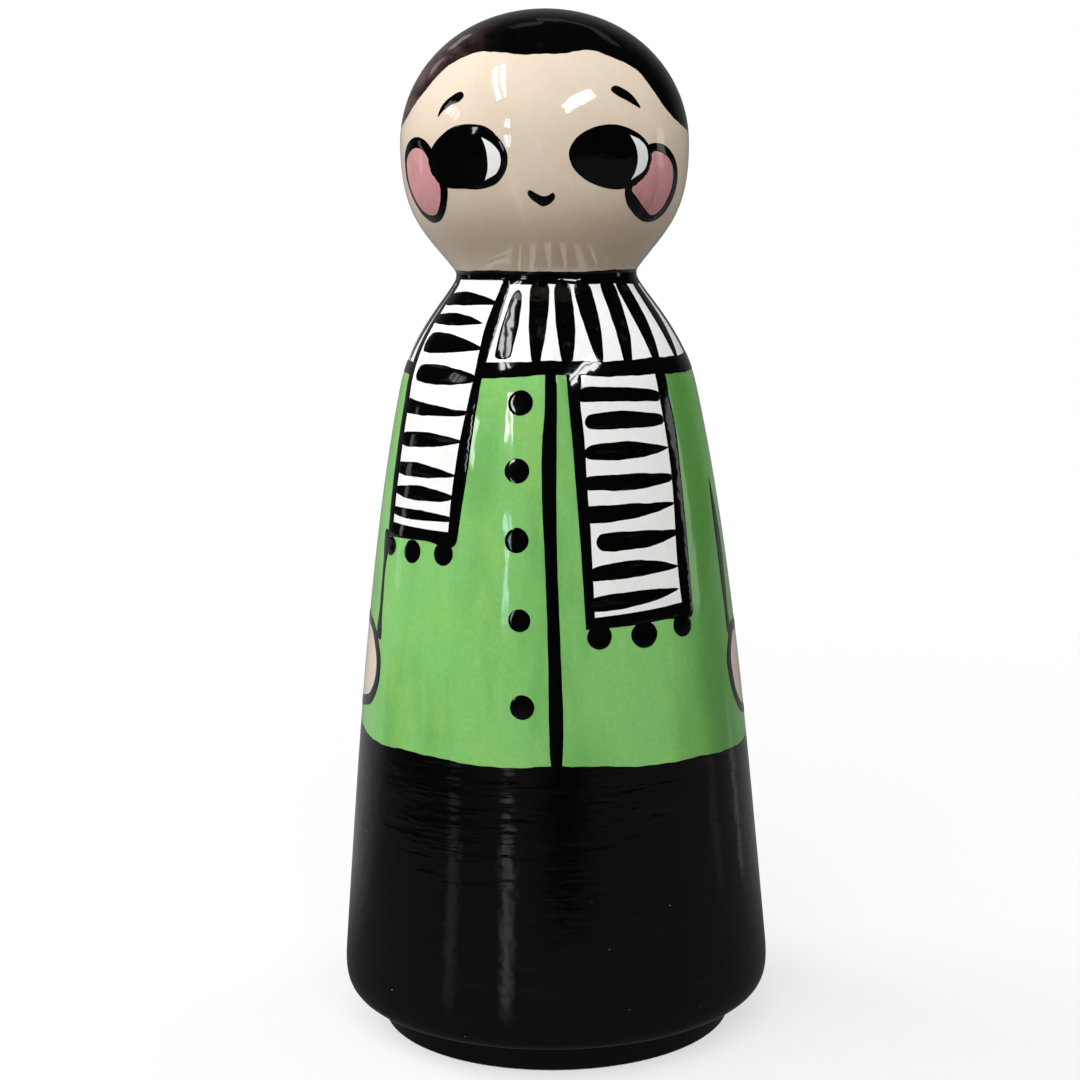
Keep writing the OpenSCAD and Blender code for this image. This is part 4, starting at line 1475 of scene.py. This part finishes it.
@dataclass
class Collar(DollPart):
    """Neck band and collar of the scarf, with the collar's edge and strokes.

    A stroke has the azimuths of its top and its foot, and three widths in degrees. The drop is its mark.
    """

    BAND_ROW = 0.5 * MM
    EDGE_ROW = 0.8 * MM
    DROP = (21.5, 5.2, 0.14, 0.05)
    STROKE_WOBBLE = 0.3

    girth: float = 29 * MM
    edge_span: Pair = (-26.5, 290.0)
    edge_top: Contour = Contour((
        (-150, 167.3), (-70, 166.6), (-20, 167.6), (0, 167.7), (25, 167.4), (60, 167.5),
    ), 0.1)
    edge_foot: Contour = Contour((
        (-150, 163.9), (-70, 163.7), (-20, 164), (0, 164.6), (25, 163.9), (60, 163.5),
    ), 0.1)
    collar_strokes: tuple[tuple[float, float, float, float, float], ...] = (
        (-16.2, -18.2, 5.2, 8.0, 6.4), (-3.8, -4.7, 11.4, 8.6, 2.6), (9.3, 7.7, 9.0, 9.0, 3.4),
        (21, 21, 10.6, 8.4, 1.8), (39.4, 33.2, 12.2, 8.4, 4.0), (51.4, 48.7, 12.2, 9.4, 4.2),
        (69.4, 64.4, 9.2, 8.8, 3.0), (83.5, 80, 10.4, 9.0, 3.6), (97, 95, 10.8, 8.8, 3.0),
        (111.5, 109, 11.2, 8.4, 3.6), (125, 124, 10.4, 8.6, 2.8), (139, 138.5, 11.0, 9.2, 3.8),
        (153.5, 152, 10.2, 8.4, 3.0), (167, 166.5, 11.2, 9.0, 3.4), (181, 181.5, 10.6, 8.6, 2.8),
        (195, 196, 11.0, 8.8, 3.6), (209.5, 210, 10.4, 9.0, 3.0), (223, 225, 11.2, 8.4, 3.4),
        (237.5, 239, 10.2, 8.8, 3.2), (251.5, 253, 10.8, 8.6, 3.6), (265.5, 267.5, 10.4, 8.8, 3.0),
        (279.5, 282, 10.0, 8.4, 3.2),
    )
    first_stroke_z: Pair = (183.8, 168.2)
    stroke_z: Pair = (186.2, 166.6)

    def build(self) -> None:
        """Lay the band and the collar, then the collar's edge and strokes."""
        edges, painter = self.edges, self.painter
        low, high = edges.at(edges.band_foot), edges.at(edges.band_top)
        band = painter.band(low, high, self.girth, Layer.BASE, row=self.BAND_ROW)
        self.dress(band, "neck_band_black", "line", "neck_band")
        collar = painter.band(edges.level(edges.collar_z), low, self.girth, Layer.BASE)
        self.dress(collar, "collar_white", "white", "collar_coat")
        low, high = edges.at(self.edge_foot), edges.at(self.edge_top)
        edge = painter.band(low, high, self.girth, Layer.LINE, self.edge_span, self.EDGE_ROW)
        self.dress(edge, "collar_edge_line", "line", "collar_edge")
        self._strokes()

    def _strokes(self) -> None:
        """Draw the upright strokes round the collar."""
        unit = math.radians(self.girth / MM)
        strokes = []
        for top, foot, *widths in self.collar_strokes:
            high, low = self.stroke_z if strokes else self.first_stroke_z
            strokes.append(Stroke((top, high), (foot, low), tuple(width * unit for width in widths)))
        drop = brush_mark(*self.DROP)
        self.brush(drop, strokes, "collar_brush_strokes", "upright", "collar_strokes", self.STROKE_WOBBLE)


@dataclass(frozen=True)
class Tail:
    """What one tail of the scarf is drawn from.

    The left line has heights with its outer and its inner azimuth, and the right line has heights with its
    inner and its outer one, both downwards. The bar is the lower edge of the line across the end, from left
    to right.
    """

    name: str
    left: Sides
    right: Sides
    bar: Spots
    strokes: tuple[Stroke, ...]
    pompoms: Dabs


@dataclass
class Tails(DollPart):
    """The two tails of the scarf. The pull is the brush mark of their strokes."""

    PULL = (24.0, 3.6, 0.08, 0.06)
    OUTLINE_WOBBLE = 0.12
    STROKE_WOBBLE = 0.4
    DOT_WOBBLE = 0.35

    girth: float = 40 * MM
    tails: tuple[Tail, ...] = (
        Tail(
            "short",
            left=(
                (186, -74.5, -68.5), (180, -74, -68), (172, -72.6, -67), (165, -70.6, -65.6),
                (158, -69.4, -64.4), (148, -68.8, -64), (138, -68.2, -63.6), (128.8, -67.4, -63.2),
            ),
            right=(
                (186, -27.6, -23.6), (180, -29, -22.6), (175, -29.4, -23), (170, -29, -24.2),
                (165, -29, -25.4), (160, -30, -26.2), (150, -32.3, -27.5), (140, -33.7, -28.7),
                (134, -34.2, -29.7), (128.4, -34.3, -30.4),
            ),
            bar=(
                (-66.8, 125.2), (-56, 125.5), (-44, 125.8), (-31, 125.9),
            ),
            strokes=(
                Stroke((-70, 181.4), (-27, 180.7), (3.2, 3.8, 0.8), 0.7),
                Stroke((-70, 176.9), (-31, 176.3), (2.2, 3.4, 0.2), 0.4),
                Stroke((-65.6, 171.4), (-28, 170.5), (4.6, 5.0, 0.5), 0.5),
                Stroke((-63, 164.4), (-28, 163.6), (3.6, 4.7, 1.4), 0.3),
                Stroke((-66, 156.6), (-30, 155.8), (4.0, 2.7, 1.1), -0.1),
                Stroke((-66, 148.7), (-31, 149.3), (2.9, 3.6, 0.3), 0.1),
                Stroke((-66, 141.7), (-32.5, 141.4), (2.5, 3.2, 0.3), 0.3),
                Stroke((-65, 136.4), (-33, 136.3), (1.4, 3.5, 1.0), 0.3),
                Stroke((-65, 131.4), (-33, 131.3), (1.7, 2.5, 1.0), 0.2),
            ),
            pompoms=(
                (-63, 123, 5.6, 4.6), (-49.7, 122.9, 6.1, 5.7), (-35.7, 123.3, 5.7, 5.5),
            ),
        ),
        Tail(
            "long",
            left=(
                (166, 6.8, 10.7), (157, 7.4, 11.6), (150, 8, 12.3), (140, 8.6, 12.4), (130, 9.2, 12.8),
                (118, 9.7, 12.9), (109.3, 10, 13),
            ),
            right=(
                (166, 45.3, 49.6), (158, 45.2, 50.9), (151, 45.6, 51.6), (143, 45.6, 50.8), (134, 44.9, 50),
                (125, 43.8, 49.4), (117, 43.3, 48.8), (110.6, 43.6, 48.3),
            ),
            bar=(
                (10.2, 106.6), (22, 106.8), (36, 107.3), (48.2, 107.6),
            ),
            strokes=(
                Stroke((9.5, 160.1), (45.6, 158.6), (3.5, 3.5, 2.4), 0.4),
                Stroke((12.8, 153.8), (45.8, 153.2), (3.2, 4.1, 2.0), 0.3),
                Stroke((11.8, 146.7), (46, 146.5), (2.8, 4.0, 0.3), 0.3),
                Stroke((10.5, 139.9), (46, 139.8), (2.9, 3.7, 1.6), -0.1),
                Stroke((10.5, 132.7), (45.4, 133.7), (3.9, 3.5, 0.5), -0.2),
                Stroke((14.4, 126.4), (45.6, 127), (3.9, 4.1, 0.9), -0.3),
                Stroke((11, 118.9), (44, 119.1), (2.6, 3.9, 0.3), 0.8),
                Stroke((11, 112.1), (43, 113.8), (3.1, 3.4, 0.3), 0.1),
            ),
            pompoms=(
                (14.2, 104.8, 5.9, 5.8), (28.5, 104.5, 7.1, 6.1), (43.1, 105.4, 6.1, 5.7),
            ),
        ),
    )

    def build(self) -> None:
        """Paint one tail after the other."""
        for tail in self.tails:
            self._paint(tail)

    def _paint(self, tail: Tail) -> None:
        """Paint one tail: its white, its outline, its strokes and its pompoms."""
        name = tail.name + "_tail"
        outer_left = [(outer, height) for height, outer, _ in tail.left]
        inner_left = [(inner, height) for height, _, inner in tail.left]
        inner_right = [(inner, height) for height, inner, _ in tail.right]
        outer_right = [(outer, height) for height, _, outer in tail.right]
        left_middle, right_middle = (
            [((first + last) / 2, height) for height, first, last in side] for side in (tail.left, tail.right)
        )
        middle = (left_middle[:-1], left_middle[-1:], right_middle[:0:-1], right_middle[:1])
        self.dress(self.inside(Layer.WASH, middle), name + "_white", "white", name + "_coat")
        runs = (
            outer_left[:-1] + [tail.bar[0]],
            tail.bar,
            outer_right[::-1],
            inner_right[:-1],
            inner_right[-1:],
            inner_left[::-1],
        )
        outline = self.inside(Layer.LINE, self._corners(runs))
        self.dress(outline, name + "_line", "line", name + "_outline", self.OUTLINE_WOBBLE)
        pull, drawn = brush_mark(*self.PULL), name + "_brush_strokes"
        self.brush(pull, tail.strokes, drawn, "level", name + "_strokes", self.STROKE_WOBBLE)
        dabs = self.dabs(tail.pompoms)
        self.brush(dot(), dabs, name + "_dots", "line", name + "_pompoms", self.DOT_WOBBLE)

    @staticmethod
    def _corners(runs: Sequence[Sequence[Spot]]) -> list[list[Spot]]:
        """Return runs that each start where the one before ends, without repeated spots."""
        tidy: list[list[Spot]] = []
        for run in runs:
            if tidy and tidy[-1] and tidy[-1][-1] == run[0]:
                tidy[-1] = tidy[-1][:-1]
            tidy.append(list(run))
        return [run for run in tidy if run]


@dataclass(frozen=True)
class Arm:
    """What one arm is drawn from: both edges of the hand's outline, and the loops of the sleeve's lines."""

    name: str
    outer: Spots
    inner: Spots
    sleeve: tuple[Spots, ...]


@dataclass
class Jacket(DollPart):
    """Green jacket with its front line, buttons, hands and sleeves."""

    FRONT_WOBBLE = 0.12
    BUTTON_WOBBLE = 0.25
    HAND_WOBBLE = 0.12
    SLEEVE_WOBBLE = 0.1

    girth: float = 44 * MM
    front_edges: Sides = (
        (165, -1, 3.4), (157, -1.3, 3.1), (149, -2.3, 2.7), (136, -2.4, 2.2), (124, -1.8, 2.1),
        (110, -1.3, 2.4), (96, -1.1, 2.7), (84, -1.1, 2.9), (78, -0.9, 2.6), (75, -0.6, 2.3),
    )
    buttons: Dabs = (
        (-10, 158.4, 5.9, 5.9), (-10.8, 143, 5.9, 5.7), (-10.5, 127.2, 5.6, 5.8), (-9.5, 109, 5.2, 5.2),
        (-8.6, 89.1, 5.7, 5.7),
    )
    arms: tuple[Arm, ...] = (
        Arm(
            "left",
            outer=(
                (-80, 104.7), (-73, 103.6), (-67.5, 100.8), (-63.6, 96), (-63, 92), (-64.6, 87.6),
                (-68.5, 84), (-75, 82.4), (-84, 81), (-92, 81.4), (-98, 85), (-101, 91), (-100, 97.5),
                (-95, 102.4), (-88, 104.6),
            ),
            inner=(
                (-80, 102.2), (-74, 101.2), (-69.8, 98.6), (-66.9, 95), (-66.5, 92), (-67.8, 88.8),
                (-71, 86.2), (-76, 84.9), (-84, 83.6), (-91, 84), (-95.4, 86.8), (-97.6, 91), (-96.8, 96.4),
                (-92.8, 100.2), (-87, 102.2),
            ),
            sleeve=(
                (
                    (-66.9, 126.4), (-66, 116), (-65.2, 106), (-65.2, 100), (-67.4, 100.4), (-67.8, 108),
                    (-68.4, 118), (-68.8, 126.6),
                ),
                (
                    (-95, 137), (-93.2, 128), (-93, 116), (-92.6, 103), (-94.8, 102.6), (-96, 112),
                    (-97, 124), (-96.2, 132),
                ),
            ),
        ),
        Arm(
            "right",
            outer=(
                (73, 101.6), (69, 98.6), (65.8, 94), (66.4, 89.2), (69.2, 84), (74, 80), (82, 77.8),
                (91, 76.6), (98, 78.4), (102.4, 84), (103, 90), (100, 96.4), (93, 100.6), (83, 101.9),
            ),
            inner=(
                (75, 98.8), (72.4, 97), (70, 93.6), (70.2, 89.6), (72.2, 85.2), (76, 82.2), (82.6, 80.2),
                (90.4, 79.2), (95.8, 80.8), (99, 85), (99.6, 89.8), (97.2, 94.8), (91.4, 98.2), (83, 99.2),
            ),
            sleeve=(
                (
                    (72, 137.6), (74.6, 130), (75.4, 122), (74, 113), (72.6, 105), (72.4, 99.6), (70, 99.8),
                    (69.2, 106), (69, 115), (69.4, 123), (70, 130),
                ),
                (
                    (96, 136), (97.6, 128), (97.8, 116), (96.8, 104), (95.8, 99.8), (93.6, 100.2),
                    (93.6, 110), (94, 120), (94.6, 130),
                ),
            ),
        ),
    )

    def build(self) -> None:
        """Lay the green coat, then the front, the buttons, the hands and the sleeves."""
        edges = self.edges
        hem, collar = edges.at(edges.hem), edges.level(edges.collar_z)
        coat = self.painter.band(hem, collar, self.girth, Layer.BASE)
        self.dress(coat, "jacket_green_coat", "green", "jacket_coat")
        left = [(turn, height) for height, turn, _ in self.front_edges]
        right = [(turn, height) for height, _, turn in self.front_edges]
        front = self.inside(Layer.LINE, (left[:-1], left[-1:], right[:0:-1], right[:1]))
        self.dress(front, "jacket_front_line", "line", "front_line", self.FRONT_WOBBLE)
        dabs = self.dabs(self.buttons)
        self.brush(dot(), dabs, "jacket_buttons", "line", "buttons", self.BUTTON_WOBBLE)
        for arm in self.arms:
            self._arm(arm)

    def _arm(self, arm: Arm) -> None:
        """Paint one hand with its outline and sleeve lines."""
        hand, sleeve = arm.name + "_hand", arm.name + "_sleeve"
        self.dress(self.inside(Layer.WASH, (arm.outer,)), hand + "_skin", "skin", hand)
        outline = self.inside(Layer.LINE, (arm.outer,), (arm.inner,))
        self.dress(outline, hand + "_line", "line", hand + "_outline", self.HAND_WOBBLE)
        lines = self.inside(Layer.LINE, *((line,) for line in arm.sleeve))
        self.dress(lines, sleeve + "_brush_lines", "line", sleeve + "_lines", self.SLEEVE_WOBBLE)


@dataclass
class Trousers(DollPart):
    """Black trousers, down over the lower edge and the foot ring."""

    LEG_ROW = 1.2 * MM
    FOOT_ROW = 0.25 * MM

    girth: float = 51 * MM

    def build(self) -> None:
        """Lay the trousers, then the foot's coat."""
        edges, painter, form = self.edges, self.painter, self.edges.form
        rim = edges.even(float(form.course[form.foot_stretches * form.steps, 2]) * MM)
        legs = painter.band(rim, edges.at(edges.hem), self.girth, Layer.BASE, row=self.LEG_ROW)
        self.dress(legs, "trousers_black_coat", "trousers", "trousers_coat")
        foot = painter.band(edges.even(0.0), rim, self.girth, Layer.BASE, row=self.FOOT_ROW)
        self.dress(foot, "foot_black_coat", "trousers", "foot_coat")


@dataclass
class Clay:
    """The bare clay pieces, which stay as they are built and get their finish."""

    nodes: tuple[str, ...] = ("base_disc", "body_shell", "head_shell", "neck_slip_ring")

    def dress(self) -> None:
        """Give the clay pieces their finish."""
        material = ClayFinish().material()
        for name in self.nodes:
            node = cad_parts[name]
            node.data.materials.clear()
            node.data.materials.append(material)
            LOG.info("%s: fired clay", name)


# The studio

@dataclass(frozen=True)
class Pane:
    """One bright pane that the glaze mirrors.

    Its direction from the doll, its size and its turn are in degrees. If it has more than one bar, only a
    share of each bar's width is bright.
    """

    name: str
    azimuth: float
    elevation: float
    wide: float
    tall: float
    turn: float
    radiance: float
    bars: int = 1
    colour: Colour = (1.0, 1.0, 1.0)
    bar_share: float = 0.55


@dataclass(frozen=True)
class Patch:
    """One bright or dark strip of floor that the legs mirror.

    Its direction and half its width are in degrees. It fades in over the near distances and out over the far
    ones, in metres.
    """

    azimuth: float
    half: float
    level: float
    near: Pair = (0.07, 0.2)
    far: Pair = (0.45, 0.8)


@dataclass(frozen=True)
class SoftLamp:
    """One broad lamp that lights the colours and that the glaze doesn't mirror.

    Its direction from the doll is in degrees, and its distance and size are in metres. The level is the share
    of its colour that a surface facing the lamp shows.
    """

    name: str
    azimuth: float
    elevation: float
    distance: float
    size: Pair
    level: float


@dataclass
class Studio:
    """Camera, floor, surroundings and lamps.

    The camera's place, the aim's height and the legs' radius are in millimetres, and the camera's turns are
    in degrees. Sizes and reaches on the floor are in metres.
    """

    camera_y: float = -510.09
    camera_z: float = 198.55
    pitch: float = 8.648
    yaw: float = 0.2857
    roll: float = -0.866
    lens: float = 68.855
    sensor: float = 36.0
    clip: Pair = (0.01, 50.0)
    aim_z: float = 130.0
    floor_sides: int = 64
    floor_radii: Pair = (0.3, 4.0)
    floor_colour: Colour = (0.11, 0.09, 0.06)
    floor_seen: Colour = (0.8, 0.8, 0.8)
    sky_low: float = 0.12
    sky_high: float = 0.38
    dim: float = 0.01
    floor_dim: float = 0.08
    glow_share: float = 0.6
    glow_reach: Pair = (0.1, 0.55)
    mirror_colour: tuple[float, float, float, float] = (0.96, 0.98, 1.0, 1.0)
    back: float = 0.16
    back_slant: float = 0.5
    back_from: Pair = (0.2, 0.8)
    back_reach: Pair = (0.06, 0.2)
    dusk_from: Pair = (0.55, 1.0)
    horizon: Pair = (1.6, 3.9)
    lamps: tuple[SoftLamp, ...] = (
        SoftLamp("soft front fill", -2, 40, 1.6, (1.4, 1.4), 0.86),
        SoftLamp("soft key", -58, 36, 1.5, (1.2, 1.2), 0.26),
        SoftLamp("soft left side", -110, 30, 1.5, (1.0, 1.2), 0.78),
        SoftLamp("soft right side", 110, 26, 1.5, (1.0, 1.2), 0.36),
    )
    pane_distance: float = 1.6
    panes: tuple[Pane, ...] = (
        Pane("window upper pane", -29, 19, 5.5, 7.5, 0, 20, 2),
        Pane("window lower pane", -28, 5.5, 4, 7, 0, 9, 2, (0.6, 0.85, 1.0)),
        Pane("window far pane", -56, 13.5, 3.5, 4.5, -15, 8),
        Pane("left window", -80, 24.5, 15, 7, -19, 3.5, 3),
        Pane("skylight", -48.8, 51.9, 9.5, 31, 33.6, 13, 2),
        Pane("ceiling lamp", 31.1, 37.2, 8, 26, -63.5, 17, 2, bar_share=0.75),
        Pane("right doorway", 103, 4, 9, 14, 0, 1.0),
        Pane("left doorway", -115, 2.5, 4, 11, 0, 0.8),
        Pane("back skylight left", -170.6, 57.7, 10, 5, 0, 0.15),
        Pane("back skylight right", 171.6, 52.1, 14, 4, 0, 0.15),
        Pane("back lamp right", 147, 51, 16, 5, 0, 0.15, 1, (1.0, 0.86, 0.9)),
        Pane("back window left", -149, 33, 22, 6, -20, 0.6, 2),
    )
    patches: tuple[Patch, ...] = (
        Patch(-26, 6, 0.6),
        Patch(-58, 6, 0.18),
        Patch(103, 6, 0.07, (0.2, 0.26)),
        Patch(128, 5, 0.2, (0.18, 0.22)),
        Patch(6, 26, -0.07, (0.2, 0.4), (3.0, 3.9)),
        Patch(-80, 70, -0.07, (0.3, 0.6), (3.0, 3.9)),
    )
    legs_r: float = 52.0

    def build(self) -> None:
        """Set up the camera, the floor, the surroundings and the lamps."""
        self._camera()
        self._floor()
        self._world()
        for lamp in self.lamps:
            way = lamp.azimuth, lamp.elevation, lamp.distance
            self._lamp(lamp.name, *way, lamp.size, lamp.level, glossy=False)
        for pane in self.panes:
            self._pane(pane)
        bpy.context.scene.view_settings.view_transform = "Standard"

    def _pane(self, pane: Pane) -> None:
        """Hang a pane's bars side by side, as lamps that only the glaze shows."""
        away = self.pane_distance
        wide, tall = (2 * away * math.tan(math.radians(angle / 2)) for angle in (pane.wide, pane.tall))
        bar = wide / pane.bars
        size = (bar * pane.bar_share if pane.bars > 1 else bar, tall)
        level = pane.radiance * size[0] * size[1] / (math.pi * away**2)
        way = pane.azimuth, pane.elevation, away
        for index in range(pane.bars):
            aside = (index + 0.5) * bar - wide / 2
            self._lamp(pane.name, *way, size, level, pane.turn, pane.colour, aside, diffuse=False)

    def _camera(self) -> None:
        """Make the camera at the photograph's viewing angle."""
        data = bpy.data.cameras.new("camera")
        data.lens, data.sensor_width = self.lens, self.sensor
        data.clip_start, data.clip_end = self.clip
        camera = bpy.data.objects.new("camera", data)
        bpy.context.scene.collection.objects.link(camera)
        place = Matrix.Translation(Vector((0, self.camera_y, self.camera_z)) * MM)
        turn = Matrix.Rotation(math.radians(self.yaw), 4, "Z")
        tilt = Matrix.Rotation(math.radians(90 - self.pitch), 4, "X")
        roll = Matrix.Rotation(math.radians(self.roll), 4, "Z")
        camera.matrix_world = place @ turn @ tilt @ roll
        bpy.context.scene.camera = camera

    def _floor(self) -> None:
        """Make the pale floor, which fades into the white surroundings and keeps the doll's shadow."""
        mesh = bpy.data.meshes.new("floor")
        count = self.floor_sides
        turns = [2 * math.pi * k / count for k in range(count)]
        rings = [[(r * math.cos(t), r * math.sin(t), 0.0) for t in turns] for r in self.floor_radii]
        strip = [(k, count + k, count + (k + 1) % count, (k + 1) % count) for k in range(count)]
        mesh.from_pydata([*rings[0], *rings[1]], [], [tuple(range(count)), *strip])
        floor = bpy.data.objects.new("floor", mesh)
        bpy.context.scene.collection.objects.link(floor)
        mesh.materials.append(self._floor_finish())

    def _floor_finish(self) -> bpy.types.Material:
        """Return the floor's material: pale to the camera, with strips of light to the glaze."""
        material = bpy.data.materials.new("pale floor")
        material.use_nodes = True
        graph = Graph(material.node_tree)
        place = graph.node("ShaderNodeTexCoord", out="Object")
        far = graph.vector("LENGTH", place).out("Value")
        rays, mirrored = self._rays(graph)
        colour = graph.blend(rays, self.floor_colour, self.floor_seen)
        matt = graph.node("ShaderNodeBsdfDiffuse", None, {"Color": colour})
        glow = graph.node("ShaderNodeEmission", None, {"Color": OPAQUE_WHITE, "Strength": 1.0})
        share = self.glow_share + (1.0 - self.glow_share) * graph.ease(far, *self.glow_reach)
        seen = graph.node("ShaderNodeMixShader", None, {0: rays * share, 1: matt, 2: glow})
        light = self._floor_light(graph, place, far)
        mirror = graph.node("ShaderNodeEmission", None, {"Color": self.mirror_colour, "Strength": light})
        surface = graph.node("ShaderNodeMixShader", None, {0: mirrored * (1.0 - rays), 1: seen, 2: mirror})
        graph.node("ShaderNodeOutputMaterial", None, {"Surface": surface})
        return material

    def _floor_light(self, graph: Graph, place: Term, far: Term) -> Term:
        """Return how bright the floor looks in the glaze.

        Args:
            graph: The material's graph.
            place: Object coordinates.
            far: Distance from the doll's axis, in metres.

        Returns:
            The brightness, which turns into that of the surroundings at the horizon.
        """
        x, y, _ = graph.split(place)
        behind = graph.ease(y / far, *self.back_from) * graph.ease(far, *self.back_reach)
        light = self.floor_dim + self.back * (1.0 - self.back_slant * x / far) * behind
        for patch in self.patches:
            facing = math.radians(patch.azimuth / 2)
            across = x - self.legs_r * MM * math.sin(facing)
            ahead = -y - self.legs_r * MM * math.cos(facing)
            aside = across.math("ARCTAN2", across, ahead) - math.radians(patch.azimuth)
            strip = 1.0 - graph.ease(aside.math("ABSOLUTE", aside), 0.0, math.radians(patch.half))
            reach = graph.ease(far, *patch.near) * (1.0 - graph.ease(far, *patch.far))
            light = light + patch.level * strip * reach
        gone = graph.ease(far, *self.horizon)
        return light * (1.0 - gone) + self._dusk(graph, x / far, y / far) * gone

    @staticmethod
    def _rays(graph: Graph) -> tuple[Term, Term]:
        """Return whether a ray comes from the camera, and whether from a mirroring or clear surface."""
        rays = graph.node("ShaderNodeLightPath", out="Is Camera Ray")
        return rays, rays.math("MAXIMUM", rays.out("Is Glossy Ray"), rays.out("Is Transmission Ray"))

    def _dusk(self, graph: Graph, side: Term, ahead: Term) -> Term:
        """Return how bright the surroundings look in the glaze: dim, and paler behind the doll."""
        return self.dim + self.back * (1.0 - self.back_slant * side) * graph.ease(ahead, *self.dusk_from)

    def _world(self) -> None:
        """Make the surroundings: white to the camera, dim to the glaze, and a soft sky for the colours."""
        world = bpy.data.worlds.new("studio")
        bpy.context.scene.world = world
        world.use_nodes = True
        graph = Graph(world.node_tree)
        rays, mirrored = self._rays(graph)
        side, ahead, up = graph.split(graph.node("ShaderNodeTexCoord", out="Generated"))
        mirror = self._dusk(graph, side, ahead)
        sky = self.sky_low + (self.sky_high - self.sky_low) * graph.ease(up, 0.0, 1.0)
        light = mirrored * mirror + (1.0 - mirrored) * sky
        sockets = {"Color": OPAQUE_WHITE, "Strength": rays + (1.0 - rays) * light}
        surface = graph.node("ShaderNodeBackground", None, sockets)
        graph.node("ShaderNodeOutputWorld", None, {"Surface": surface})

    def _lamp(
        self,
        name: str,
        azimuth: float,
        elevation: float,
        distance: float,
        size: Pair,
        level: float,
        turn: float = 0.0,
        colour: Colour = (1.0, 1.0, 1.0),
        aside: float = 0.0,
        glossy: bool = True,
        diffuse: bool = True,
    ) -> None:
        """Hang one lamp that faces the doll.

        Args:
            name: The lamp's name.
            azimuth: Direction from the front, in degrees.
            elevation: Height above the horizon, in degrees.
            distance: Distance from the doll, in metres.
            size: Width and height, in metres.
            level: Share of its colour that a surface facing the lamp shows.
            turn: Turn about the direction to the doll, in degrees.
            colour: Colour of its light.
            aside: Shift along its own width, in metres.
            glossy: Whether the glaze mirrors it.
            diffuse: Whether it lights the colours.
        """
        data = bpy.data.lights.new(name, "AREA")
        data.shape = "RECTANGLE"
        data.size, data.size_y = size
        data.energy, data.color = level * (math.pi * distance) ** 2, colour
        lamp = bpy.data.objects.new(name, data)
        bpy.context.scene.collection.objects.link(lamp)
        around, rise, spin = (math.radians(angle) for angle in (azimuth, elevation, turn))
        way = Vector((math.sin(around) * math.cos(rise), -math.cos(around) * math.cos(rise), math.sin(rise)))
        side = Vector((math.cos(around), math.sin(around), 0.0))
        up = way.cross(side)
        axes = side * math.cos(spin) + up * math.sin(spin), up * math.cos(spin) - side * math.sin(spin), way
        place = Vector((0, 0, self.aim_z * MM)) + way * distance + axes[0] * aside
        lamp.matrix_world = Matrix.Translation(place) @ Matrix(axes).transposed().to_4x4()
        lamp.visible_glossy, lamp.visible_diffuse = glossy, diffuse
        lamp.visible_camera = False


def main() -> None:
    """Build the doll's looks in order and report each piece."""
    logging.basicConfig(level=logging.INFO, format="%(name)s %(message)s")
    Studio().build()
    form = Silhouette()
    painter, palette, edges = Painter(form), Palette(), Edges(form)
    for part in (Head, Collar, Tails, Jacket, Trousers):
        part(painter, palette, edges).build()
    painter.clear()
    Clay().dress()


if __name__ == "__main__":
    main()
